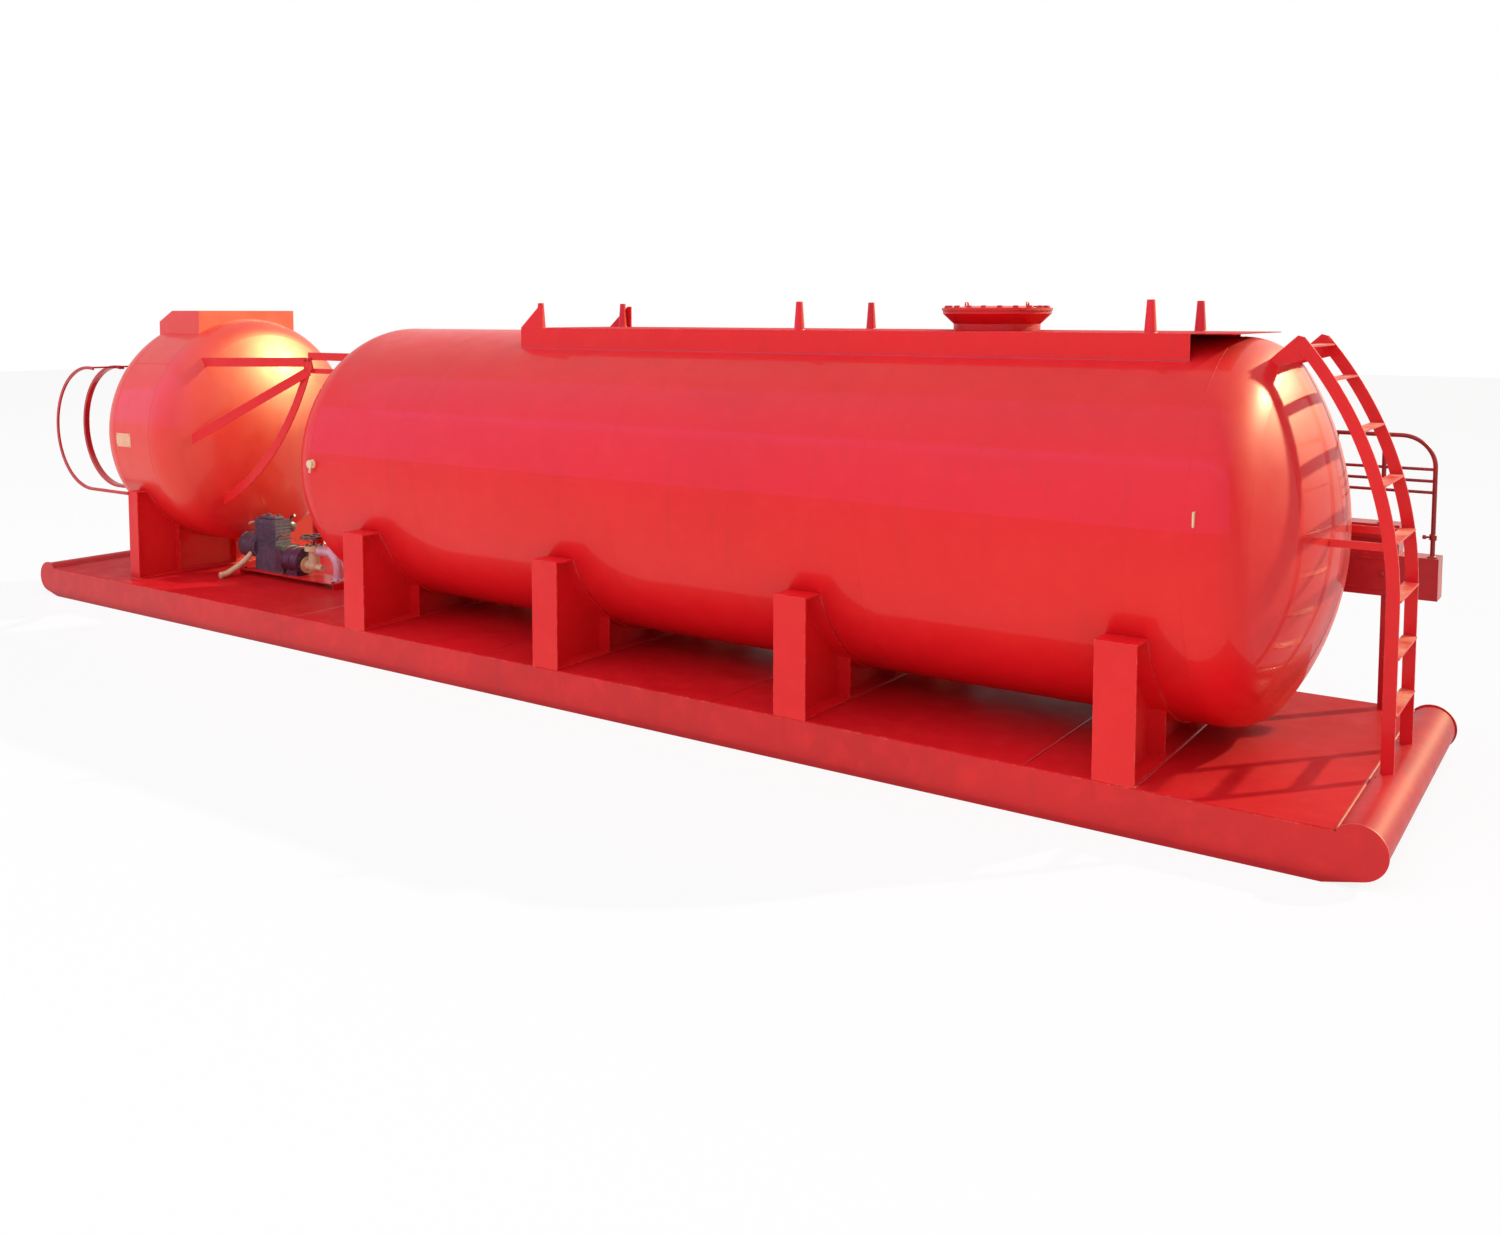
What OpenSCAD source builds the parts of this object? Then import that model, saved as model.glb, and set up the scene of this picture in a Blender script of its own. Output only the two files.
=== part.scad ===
// Skid-mounted diesel storage tank: a long horizontal tank and a short service
// vessel on one road-width skid, with a curved end ladder, top walkways, a hose
// rack, a rear valve box with a hand hoop, and a transfer pump set between them.
// +X runs from the vessel to the ladder end, +Z is up, and the origin is on the
// ground at the middle of the skid.

/* [Skid] */
// Length of the flat underside of each runner
runner_l = 12000; // [11600:100:12600]
// Width over the outer faces of the runners
skid_w = 2500; // [2480:10:2550]
// Height of the deck surface
skid_h = 285; // [270:5:300]
// Thickness of the deck plate
deck_t = 8; // [6:1:10]
// Radius of the rounded runner nose
nose_r = 146; // [140:1:150]

/* [Main tank] */
// Outside radius of the main tank
tank_r = 1173; // [1150:1:1180]
// Height of the main tank's axis
tank_z = 1553; // [1540:1:1580]
// Start of the cylindrical shell at the vessel end
tank_x0 = -2030; // [-2060:10:-2000]
// End of the cylindrical shell at the ladder end
tank_x1 = 5240; // [5200:10:5260]
// Plate thickness of shells and heads
shell_t = 8; // [6:1:12]
// Length of one full rolled course
course_l = 2000; // [1950:10:2050]

/* [Saddles] */
// Centre of the first saddle
saddle_x0 = -1410; // [-1440:10:-1380]
// Distance from saddle to saddle
saddle_pitch = 2110; // [2080:10:2150]
// Width of a saddle's side plate
saddle_w = 240; // [200:10:260]
// Height of the top of a saddle's side plate
saddle_top = 1075; // [1000:5:1120]

/* [Walkway] */
// Half width of both walkways
walk_y = 550; // [500:10:600]
// Height of the main walkway's deck
walk_z = 2750; // [2745:5:2780]
// Height of a handrail socket
socket_h = 195; // [150:5:250]

/* [Manhole] */
// Centre of the manhole along the tank
manhole_x = 3645; // [3600:5:3700]
// Outside radius of the manhole neck
manhole_r = 285; // [270:5:300]
// Radius of the manhole cover
cover_r = 364; // [350:1:380]

/* [Ladder] */
// Position of the upright part of the ladder
ladder_x = 6145; // [6130:5:6160]
// Distance between the ladder stiles, centre to centre
ladder_w = 640; // [560:10:660]
// Radius of the ladder's curve, at the middle of the stiles
ladder_r = 2295; // [2260:5:2330]
// Height where the curve begins
bend_z = 1250; // [1220:10:1280]
// Angle of the curve
bend_angle = 39.5; // [38.5:0.5:40.5]
// Distance from the deck to the first tread
first_tread = 360; // [300:10:380]
// Distance from tread to tread along the stiles
tread_pitch = 320; // [300:5:330]

/* [Service vessel] */
// Outside radius of the service vessel
vessel_r = 1120; // [1100:5:1140]
// Height of the service vessel's axis
vessel_z = 1687; // [1670:1:1700]
// Left end of the vessel's shell
vessel_x0 = -5080; // [-5100:10:-5060]
// Right end of the vessel's shell
vessel_x1 = -4500; // [-4520:10:-4480]
// Height of the vessel's walkway
vessel_walk_z = 2890; // [2870:5:2910]

/* [Hidden] */
$fn = 96;

fine = 360;
half_w = skid_w / 2;
half_l = runner_l / 2;
web_t = 12;
flange_t = 14;
flange_w = 90;
beam_h = skid_h - deck_t;
nose_x = half_l + 165;
nose_z = 187;
pipe_r = 136.5;
pipe_t = 10;
deck_end = nose_x - sqrt(pow(pipe_r, 2) - pow(beam_h - nose_z, 2));
nose_gap = sqrt(pow(nose_x - half_l, 2) + pow(nose_z, 2));
nose_rise = atan2(nose_z, nose_x - half_l) - asin(nose_r / nose_gap);
nose_run = sqrt(pow(nose_gap, 2) - pow(nose_r, 2));
touch_x = half_l + nose_run * cos(nose_rise);
touch_z = nose_run * sin(nose_rise);
centre_y = 420;
centre_w = 120;
cross_count = 10;
cross_w = 80;
cross_t = 10;
saddle_t = 12;
rib_t = 10;
rib_y = 640;
plate_t = 8;
floor_t = 5;
bar_w = 70;
bar_t = 12;
tread_w = 80;
tread_t = 10;
gusset_t = 10;
tread_count = 7;
crown_k = 0.8;
knuckle_k = 0.154;
head_k = crown_k - sqrt(pow(crown_k - knuckle_k, 2) - pow(0.5 - knuckle_k, 2));

// How far the crown of a head stands beyond its shell, at y and z off the tank's axis
function crown_reach(r, y, z) =
    2 * (head_k - crown_k) * r + sqrt(pow(2 * crown_k * r, 2) - pow(y, 2) - pow(z, 2));

// Shared shapes

module tube_y(x, z, r, t, y0, y1) {
    translate([x, y1, z]) rotate([90, 0, 0]) difference() {
        cylinder(r = r, h = y1 - y0);
        translate([0, 0, -1]) cylinder(r = r - t, h = y1 - y0 + 2);
    }
}

// A round bar from point a to point b
module rod(a, b, r) {
    d = b - a;
    translate(a) rotate([0, acos(d[2] / norm(d)), atan2(d[1], d[0])]) cylinder(r = r, h = norm(d));
}

// A flat bar from point a to point b, w deep and t thick, with its thin edges up and down
module flat_bar(a, b, w, t) {
    d = b - a;
    run = norm([d[0], d[1]]);
    translate(a) rotate([0, 0, atan2(d[1], d[0])]) rotate([0, -atan2(d[2], run), 0])
        translate([0, -t / 2, -w / 2]) cube([norm(d), t, w]);
}

// A long cylinder along X, the size of a tank's outside
module drum(x0, x1, r, z) {
    translate([x0, 0, z]) rotate([0, 90, 0]) cylinder(r = r, h = x1 - x0, $fn = fine);
}

// An upright plate cut to an outline in X and Z, from y0 to y1
module side_plate(outline, y0, y1) {
    translate([0, y1, 0]) rotate([90, 0, 0]) linear_extrude(y1 - y0) polygon(outline);
}

// Skid

module nose_outline() {
    polygon([[0, 0], [half_l, 0], [touch_x, touch_z], [nose_x, nose_z], [nose_x, beam_h], [0, beam_h]]);
    translate([nose_x, nose_z]) circle(r = nose_r);
}

module runner_web() {
    rotate([90, 0, 0]) linear_extrude(web_t) {
        nose_outline();
        mirror([1, 0]) nose_outline();
    }
}

module runner() {
    lap = web_t / 2;
    color("firebrick") union() {
        translate([0, -half_w + web_t, 0]) runner_web();
        for (z = [0, beam_h - flange_t])
            translate([-half_l, -half_w + lap, z]) cube([runner_l, flange_w + lap, flange_t]);
    }
}

module front_runner() {
    runner();
}

module rear_runner() {
    mirror([0, 1, 0]) runner();
}

module i_beam(w, h) {
    polygon([[-w / 2, 0], [w / 2, 0], [w / 2, flange_t], [web_t / 2, flange_t],
        [web_t / 2, h - flange_t], [w / 2, h - flange_t], [w / 2, h], [-w / 2, h],
        [-w / 2, h - flange_t], [-web_t / 2, h - flange_t], [-web_t / 2, flange_t], [-w / 2, flange_t]]);
}

module centre_beams() {
    color("firebrick") for (side = [-1, 1])
        translate([-half_l, side * centre_y, 0]) rotate([90, 0, 90])
            linear_extrude(runner_l) i_beam(centre_w, beam_h);
}

module channel(x, y0, y1) {
    height = beam_h - 2 * flange_t;
    translate([x, y0, flange_t]) difference() {
        cube([cross_w, y1 - y0, height]);
        translate([cross_t, -1, cross_t]) cube([cross_w, y1 - y0 + 2, height - 2 * cross_t]);
    }
}

// Channels between the long beams, with one at each end of the straight underside
module cross_members() {
    outer = half_w - web_t;
    inner = centre_y + web_t / 2;
    last = half_l - cross_w - 10;
    color("firebrick") for (i = [0:cross_count]) {
        x = -last + i * (2 * last - cross_w) / cross_count;
        channel(x, -outer, -inner);
        channel(x, -inner + web_t, inner - web_t);
        channel(x, inner, outer);
    }
}

module drag_pipes() {
    color("firebrick") for (side = [-1, 1])
        tube_y(side * nose_x, nose_z, pipe_r, pipe_t, -half_w + web_t, half_w - web_t);
}

module deck_plate() {
    color("crimson") translate([-deck_end, -half_w, beam_h]) cube([2 * deck_end, skid_w, deck_t]);
}

// Saddles

// A base plate, a web with ribs, two side plates with caps, and a curved bed for the shell
module saddle(x, r, z, half, top, w) {
    seat = r + saddle_t / 2;
    reach = sqrt(pow(seat, 2) - pow(z - top, 2));
    translate([x, 0, 0]) {
        translate([-w / 2, -half, skid_h]) cube([w, 2 * half, saddle_t]);
        difference() {
            union() {
                translate([-saddle_t / 2, -half, skid_h]) cube([saddle_t, 2 * half, top - skid_h]);
                for (y = [-rib_y, 0, rib_y])
                    translate([-w / 2 + 20, y - rib_t / 2, skid_h]) cube([w - 40, rib_t, top - skid_h]);
            }
            drum(-w, w, seat, z);
        }
        intersection() {
            difference() {
                drum(-w / 2, w / 2, r + saddle_t, z);
                drum(-w, w, r, z);
            }
            translate([-w, -half, skid_h]) cube([2 * w, 2 * half, top - skid_h]);
        }
        for (side = [-1, 1]) {
            translate([-w / 2, side > 0 ? half - saddle_t : -half, skid_h])
                cube([w, saddle_t, top - skid_h]);
            translate([-w / 2, side > 0 ? reach : -half, top - saddle_t])
                cube([w, half - reach, saddle_t]);
        }
    }
}

module tank_saddle(i) {
    color("red") saddle(saddle_x0 + (i - 1) * saddle_pitch, tank_r, tank_z, half_w, saddle_top, saddle_w);
}

module saddle_1() {
    tank_saddle(1);
}

module saddle_2() {
    tank_saddle(2);
}

module saddle_3() {
    tank_saddle(3);
}

module saddle_4() {
    tank_saddle(4);
}

module vessel_saddle() {
    color("red") saddle(vessel_leg_x, vessel_r, vessel_z, 1090, vessel_leg_top, vessel_leg_w);
}

// Shells and dished heads

module shell(x0, x1, r, z) {
    difference() {
        drum(x0, x1, r, z);
        drum(x0 - 1, x1 + 1, r - shell_t, z);
    }
}

// Half of a dished head's outline: a wide crown arc that runs into a tight knuckle arc
module dish(r, inset) {
    crown = 2 * crown_k * r;
    knuckle = 2 * knuckle_k * r;
    depth = 2 * head_k * r;
    far = 3 * r;
    kx = r - knuckle;
    intersection() {
        translate([0, depth - crown]) circle(r = crown - inset, $fn = fine);
        polygon([[0, 0], [kx, 0], [kx + far * kx / (crown - depth), far], [0, far]]);
    }
    intersection() {
        translate([kx, 0]) circle(r = knuckle - inset, $fn = fine);
        square([r, r]);
    }
}

module head(r) {
    rotate_extrude($fn = fine) difference() {
        dish(r, 0);
        dish(r, shell_t);
    }
}

// The full outside of a tank with both heads, to cut what is welded against it
module tank_body(x0, x1, r, z) {
    drum(x0, x1, r, z);
    translate([x1, 0, z]) rotate([0, 90, 0]) rotate_extrude($fn = fine) dish(r, 0);
    translate([x0, 0, z]) rotate([0, -90, 0]) rotate_extrude($fn = fine) dish(r, 0);
}

module main_tank_body() {
    tank_body(tank_x0, tank_x1, tank_r, tank_z);
}

module vessel_body() {
    tank_body(vessel_x0, vessel_x1, vessel_r, vessel_z);
}

module tank_head_right() {
    color("orangered") translate([tank_x1, 0, tank_z]) rotate([0, 90, 0]) head(tank_r);
}

module tank_head_left() {
    color("red") translate([tank_x0, 0, tank_z]) rotate([0, -90, 0]) head(tank_r);
}

module vessel_head_right() {
    color("orangered") translate([vessel_x1, 0, vessel_z]) rotate([0, 90, 0]) head(vessel_r);
}

module vessel_head_left() {
    color("red") translate([vessel_x0, 0, vessel_z]) rotate([0, -90, 0]) head(vessel_r);
}

module vessel_shell() {
    color("red") shell(vessel_x0, vessel_x1, vessel_r, vessel_z);
}

module tank_course(i) {
    x1 = tank_x1 - (4 - i) * course_l;
    color("red") shell(i == 1 ? tank_x0 : x1 - course_l, x1, tank_r, tank_z);
}

module tank_course_1() {
    tank_course(1);
}

module tank_course_2() {
    tank_course(2);
}

module tank_course_3() {
    tank_course(3);
}

module tank_course_4() {
    color("red") difference() {
        tank_course(4);
        translate([manhole_x, 0, tank_z]) cylinder(r = manhole_r, h = 2 * tank_r);
    }
}

// Main walkway

walk_x0 = -175;
walk_x1 = 5078;
walk_x2 = 5325;
gusset_x = [20, 60];
gusset_top = 2921;
sockets_x = [0, 2410, 4835];
socket_r = [37, 23];

module walkway_side() {
    outline = [[walk_x0, tank_z], [walk_x0, walk_z], [gusset_x[0], gusset_top], [gusset_x[1], gusset_top],
        [gusset_x[1], walk_z], [walk_x1, walk_z], [walk_x1, tank_z]];
    difference() {
        side_plate(outline, -walk_y, -walk_y + plate_t);
        drum(walk_x0 - 1, walk_x1 + 1, tank_r, tank_z);
    }
}

module walkway_front_plate() {
    color("crimson") walkway_side();
}

module walkway_rear_plate() {
    color("crimson") mirror([0, 1, 0]) walkway_side();
}

// A deck with a square hole around the manhole's neck
module walkway_deck() {
    inner = walk_y - plate_t;
    hole = manhole_r + 15;
    color("tomato") difference() {
        translate([walk_x0, -inner, walk_z - floor_t]) cube([walk_x2 - walk_x0, 2 * inner, floor_t]);
        translate([manhole_x - hole, -hole, walk_z - 2 * floor_t]) cube([2 * hole, 2 * hole, 3 * floor_t]);
    }
}

module handrail_sockets() {
    color("crimson") for (x = sockets_x, side = [-1, 1])
        translate([x, side * (walk_y - plate_t - socket_r[0]), walk_z])
            cylinder(r1 = socket_r[0], r2 = socket_r[1], h = socket_h);
}

// Manhole

neck_drop = 60;
flare_z = 2795;
rim_z = 2862;
rim_t = 20;
lid_t = 18;
dome_h = 13;

module manhole_neck() {
    neck_z = tank_z + tank_r - neck_drop;
    rim_r = cover_r - 8;
    translate([manhole_x, 0, 0]) color("red") difference() {
        union() {
            translate([0, 0, neck_z]) cylinder(r = manhole_r, h = flare_z - neck_z);
            translate([0, 0, flare_z]) cylinder(r1 = manhole_r, r2 = rim_r, h = rim_z - flare_z);
            translate([0, 0, rim_z]) cylinder(r = rim_r, h = rim_t);
        }
        translate([0, 0, tank_z]) cylinder(r = manhole_r - shell_t, h = 2 * tank_r);
    }
}

module manhole_cover() {
    lid_z = rim_z + rim_t;
    translate([manhole_x, 0, lid_z]) color("red") union() {
        cylinder(r = cover_r, h = lid_t);
        translate([0, 0, lid_t]) cylinder(r1 = cover_r - 80, r2 = cover_r - 160, h = dome_h);
    }
}

// Curved ladder

// Point on the middle line of the stiles, at a distance along them from the deck
function ladder_turn(s) = max(0, (s - (bend_z - skid_h)) / ladder_r * 180 / PI);
function ladder_at(s) = [ladder_x - ladder_r * (1 - cos(ladder_turn(s))),
    s <= bend_z - skid_h ? skid_h + s : bend_z + ladder_r * sin(ladder_turn(s))];

module stile(y) {
    far = 2 * ladder_r;
    lap = 1;
    translate([0, y + bar_t / 2, 0]) rotate([90, 0, 0]) linear_extrude(bar_t) {
        translate([ladder_x - bar_w / 2, skid_h]) square([bar_w, bend_z - skid_h + lap]);
        translate([ladder_x - ladder_r, bend_z]) intersection() {
            difference() {
                circle(r = ladder_r + bar_w / 2, $fn = fine);
                circle(r = ladder_r - bar_w / 2, $fn = fine);
            }
            polygon([[0, 0], [far, 0], [far, far * tan(bend_angle)]]);
        }
    }
}

module ladder_front_stile() {
    color("red") stile(-ladder_w / 2);
}

module ladder_rear_stile() {
    color("red") stile(ladder_w / 2);
}

module tread(s, width) {
    p = ladder_at(s);
    translate([p[0], 0, p[1]]) cube([tread_w, width, tread_t], center = true);
}

module ladder_treads() {
    width = ladder_w - bar_t;
    stile_l = bend_z - skid_h + ladder_r * bend_angle * PI / 180;
    color("salmon") {
        for (i = [0:tread_count - 1]) tread(first_tread + i * tread_pitch, width);
        tread(stile_l - tread_w / 2, width - 2 * gusset_t);
    }
}

// Gussets at the top and stays at the bend, both welded to the tank's head
module ladder_brackets() {
    outer = ladder_w / 2 - bar_t / 2;
    stay_x = 5700;
    stay_z = 1556;
    stay_h = 45;
    top = 2740;
    outline = [[5290, top - 296], [5610, top], [5648, top - 10], [5700, top - 122], [5400, top - 207]];
    color("red") for (side = [-1, 1]) difference() {
        union() {
            side_plate(outline, side > 0 ? outer - gusset_t : -outer, side > 0 ? outer : gusset_t - outer);
            translate([stay_x, side > 0 ? outer - gusset_t : -outer, stay_z])
                cube([ladder_x - stay_x, gusset_t, stay_h]);
        }
        main_tank_body();
    }
}

// Vessel walkway and hose rack

vessel_leg_x = -4850;
vessel_leg_top = 1140;
vessel_leg_w = 150;
vessel_walk_x = [-5170, -4948];
vessel_walk_low = 2781;
rack_x = -5560;
rack_z = 1720;
rack_r = 620;
rack_t = 30;
rack_end_x = -5470;
rack_far_y = -1090;
rack_far_w = 16;

module vessel_walk_side() {
    outline = [[vessel_walk_x[0], vessel_z], [vessel_walk_x[0], vessel_walk_low],
        [vessel_walk_x[1], vessel_walk_z], [vessel_x1, vessel_walk_z], [vessel_x1, vessel_z]];
    side_plate(outline, -walk_y, -walk_y + plate_t);
}

module vessel_walkway_frame() {
    lap = plate_t / 2;
    color("crimson") difference() {
        union() {
            vessel_walk_side();
            mirror([0, 1, 0]) vessel_walk_side();
            translate([vessel_x1 - plate_t, -walk_y + lap, vessel_z])
                cube([plate_t, 2 * (walk_y - lap), vessel_walk_z - vessel_z]);
        }
        vessel_body();
    }
}

module vessel_walkway_deck() {
    inner = walk_y - plate_t;
    color("tomato") translate([vessel_walk_x[1], -inner, vessel_walk_z - floor_t])
        cube([vessel_x1 - plate_t - vessel_walk_x[1], 2 * inner, floor_t]);
}

// A flat bar bent like a C, that runs on straight along its lower end
module rack_hoop(y, w, foot_x) {
    far = 2 * rack_r;
    side_y = y + w / 2;
    translate([rack_x, side_y, rack_z]) rotate([90, 0, 0]) linear_extrude(w) {
        difference() {
            circle(r = rack_r, $fn = fine);
            circle(r = rack_r - rack_t, $fn = fine);
            translate([0, -far]) square([far, far]);
            translate([rack_end_x - rack_x, 0]) square([far, far]);
        }
        translate([0, -rack_r]) square([foot_x - rack_x, rack_t]);
    }
}

module hose_rack() {
    leg_left = vessel_leg_x - vessel_leg_w / 2;
    near_y = -790;
    near_w = 50;
    bar_w = 30;
    bar_z = rack_z + rack_r - 20;
    bar_end = -sqrt(pow(2 * crown_k * vessel_r, 2) - pow(bar_z - vessel_z, 2)
        - pow(vessel_x0 - rack_end_x + 2 * (crown_k - head_k) * vessel_r, 2));
    foot_x = vessel_x0 - crown_reach(vessel_r, near_y + near_w / 2, vessel_z - rack_z + rack_r - rack_t);
    color("firebrick") union() {
        rack_hoop(rack_far_y, rack_far_w, leg_left);
        rack_hoop(near_y, near_w, foot_x);
        translate([rack_end_x - bar_w, rack_far_y - rack_far_w / 2, bar_z])
            cube([bar_w, bar_end - rack_far_y + rack_far_w / 2, 16]);
    }
}

// Landing between the tanks, with flat braces across to the vessel's head

landing_x = -2840;
landing_z = 2510;
landing_low = 2320;
landing_end_x = -2030;
brace_w = 85;

module middle_landing() {
    low_bar = [[landing_x + 50, landing_low], [landing_x + 64, landing_low + 45],
        [landing_end_x, landing_low + 45], [landing_end_x, landing_low]];
    top_bar = [[landing_x, landing_z - 70], [landing_x, landing_z], [landing_end_x, landing_z],
        [landing_end_x, landing_z - 70]];
    stile = [[landing_x, landing_z - 70], [landing_x + 40, landing_z - 70], [landing_x + 78, landing_low],
        [landing_x + 50, landing_low]];
    color("crimson") difference() {
        union() {
            for (y = [-walk_y, walk_y - plate_t]) {
                side_plate(low_bar, y, y + plate_t);
                side_plate(top_bar, y, y + plate_t);
                side_plate(stile, y, y + plate_t);
            }
            translate([landing_x, plate_t / 2 - walk_y, landing_z - 30])
                cube([landing_end_x - landing_x, 2 * walk_y - plate_t, floor_t]);
        }
        main_tank_body();
    }
}

// A flat bar bent to a wide arc, from the landing's corner down to the head
module curved_brace(y) {
    bow_r = 2600;
    bow_x = -5206;
    bow_z = 3433;
    near_end = [cos(24), -sin(24)];
    low_end = [cos(68), -sin(68)];
    far = 2 * bow_r;
    translate([bow_x, y, bow_z]) rotate([90, 0, 0]) linear_extrude(bar_t) intersection() {
        difference() {
            circle(r = bow_r + brace_w / 2, $fn = fine);
            circle(r = bow_r - brace_w / 2, $fn = fine);
        }
        polygon([[0, 0], far * near_end, far * [1, -1], far * low_end]);
    }
}

// Two straight braces and a curved one fan out from a small plate on the landing's corner
module landing_braces() {
    side_y = -walk_y - bar_t / 2;
    plate_x = landing_x - 50;
    plate_top = landing_z - 50;
    plate = [[plate_x, landing_low], [plate_x, plate_top], [plate_x + 100, plate_top],
        [plate_x + 140, landing_low]];
    color("crimson") difference() {
        union() {
            side_plate(plate, -walk_y - bar_t, -walk_y);
            flat_bar([landing_x - 20, side_y, landing_z - 90], [-4260, -690, 2396], brace_w, bar_t);
            flat_bar([landing_x + 20, side_y, landing_low + 20], [-4180, -880, 1665], brace_w, bar_t);
            curved_brace(-walk_y);
        }
        vessel_body();
    }
}

// Valve box and hand hoop at the rear corner

box_x = [5530, 6190];
box_y = [1060, 1250];
box_z = [1045, 1315];
lid_x = 5960;
lid_z = 1510;
slot_z = [1372, 1418];
hoop_y = 1110;
hoop_r = 14;

module valve_box() {
    color("maroon") difference() {
        union() {
            translate([box_x[0], box_y[0], box_z[0]])
                cube([box_x[1] - box_x[0], box_y[1] - box_y[0], box_z[1] - box_z[0]]);
            translate([box_x[0], box_y[0], box_z[1] - 1])
                cube([lid_x - box_x[0], box_y[1] - box_y[0], lid_z - box_z[1] + 1]);
        }
        translate([box_x[0] + 40, box_y[0] - 1, slot_z[0]])
            cube([lid_x - box_x[0] - 80, 31, slot_z[1] - slot_z[0]]);
    }
}

module valve_box_post() {
    color("maroon") translate([5855, 1125, skid_h]) difference() {
        cube([60, 60, box_z[0] - skid_h]);
        translate([5, 5, -1]) cube([50, 50, box_z[0] - skid_h + 2]);
    }
}

// A bent tube over the box, with one post at the left and three rails
module hand_hoop() {
    left = 5560;
    middle = 5850;
    right = 6147;
    top = 2087;
    bend = 200;
    color("brown") {
        rod([left, hoop_y, lid_z], [left, hoop_y, top], hoop_r);
        rod([middle, hoop_y, lid_z], [middle, hoop_y, top], hoop_r);
        rod([left, hoop_y, top], [right - bend, hoop_y, top], hoop_r);
        translate([right - bend, hoop_y, top - bend]) rotate([90, 0, 0])
            rotate_extrude(angle = 90) translate([bend, 0]) circle(r = hoop_r);
        rod([right, hoop_y, box_z[1]], [right, hoop_y, top - bend], hoop_r);
        for (z = [1730, 1802, 1877]) rod([left, hoop_y, z], [right, hoop_y, z], hoop_r - 4);
    }
}

// Transfer pump set

pump_y = -215;
base_x = [-4230, -2800];
base_w = 280;
base_h = 60;
base_t = 10;
base_z = skid_h + base_h;
block_x = [-4050, -3720];
block_w = 170;
block_z = 850;
fan_l = 220;
fan_r = 120;
fan_z = 570;
gear_x = -3600;
gear_w = 200;
gear_z = 610;
casing_x = -3360;
casing_r = 125;
casing_z = 485;
port_z = 450;
neck_x = -3250;
neck_r = 52;
bonnet_r = 90;
bonnet_z = [600, 650];
drop_x = -2900;
pipe_z = 600;
pipe_bend = 150;
bend_pipe_r = 45;

// A folded tray that stands on the deck
module pump_base() {
    length = base_x[1] - base_x[0];
    color("red") translate([base_x[0], pump_y - base_w / 2, skid_h]) difference() {
        cube([length, base_w, base_h]);
        translate([base_t, -1, -1]) cube([length - 2 * base_t, base_w + 2, base_h - base_t + 1]);
    }
}

// An engine block with a round fan cover on its end
module pump_engine() {
    lap = 30;
    color("dimgray") union() {
        translate([block_x[0], pump_y - block_w / 2, base_z])
            cube([block_x[1] - block_x[0], block_w, block_z - base_z]);
        translate([block_x[0] - fan_l, pump_y, fan_z]) rotate([0, 90, 0])
            cylinder(r = fan_r, h = fan_l + lap);
    }
}

module pump_gearbox() {
    color("darkolivegreen") translate([block_x[1], pump_y - gear_w / 2, base_z])
        cube([gear_x - block_x[1], gear_w, gear_z - base_z]);
}

// A drum on a foot
module pump_casing() {
    foot = [160, 180, 60];
    color("darkslateblue") union() {
        translate([gear_x, pump_y, casing_z]) rotate([0, 90, 0])
            cylinder(r = casing_r, h = casing_x - gear_x);
        translate([gear_x + 40, pump_y - foot[1] / 2, base_z]) cube(foot);
    }
}

// The valve's round body and bonnet, which the bent pipe is fitted against
module valve_neck() {
    translate([neck_x, pump_y, port_z]) cylinder(r = neck_r, h = bonnet_z[0] - port_z);
    translate([neck_x, pump_y, bonnet_z[0]]) cylinder(r = bonnet_r, h = bonnet_z[1] - bonnet_z[0]);
}

// A valve that is flanged to the pump's end and turns upward, with a drain stub
module pump_valve() {
    flange = [80, 22];
    stub = [32, 125];
    color("beige") union() {
        valve_neck();
        translate([neck_x, pump_y, port_z]) sphere(r = neck_r + 5);
        translate([casing_x, pump_y, port_z]) rotate([0, 90, 0]) {
            cylinder(r = neck_r, h = neck_x - casing_x);
            cylinder(r = flange[0], h = flange[1]);
        }
        translate([neck_x, pump_y, port_z - 12]) rotate([0, 90, 0]) cylinder(r = stub[0], h = stub[1]);
    }
}

// A pipe out of the valve's side that bends down to the base
module pump_discharge() {
    turn_x = drop_x - pipe_bend;
    turn_z = pipe_z - pipe_bend;
    color("mistyrose") difference() {
        union() {
            translate([neck_x, pump_y, pipe_z]) rotate([0, 90, 0])
                cylinder(r = bend_pipe_r, h = turn_x - neck_x);
            translate([turn_x, pump_y, turn_z]) rotate([90, 0, 0])
                rotate_extrude(angle = 90) translate([pipe_bend, 0]) circle(r = bend_pipe_r);
            translate([drop_x, pump_y, base_z]) cylinder(r = bend_pipe_r, h = turn_z - base_z);
        }
        valve_neck();
    }
}

// A flat wheel with four round holes, on a short stem
module pump_handwheel() {
    stem_h = 72;
    stem_r = 12;
    wheel_r = 125;
    wheel_t = 22;
    hole_r = 34;
    hole_at = 66;
    color("gray") translate([neck_x, pump_y, bonnet_z[1]]) {
        cylinder(r = stem_r, h = stem_h);
        translate([0, 0, stem_h]) difference() {
            cylinder(r = wheel_r, h = wheel_t);
            for (turn = [45:90:315]) rotate([0, 0, turn]) translate([hole_at, 0, -1])
                cylinder(r = hole_r, h = wheel_t + 2);
        }
    }
}

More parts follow.
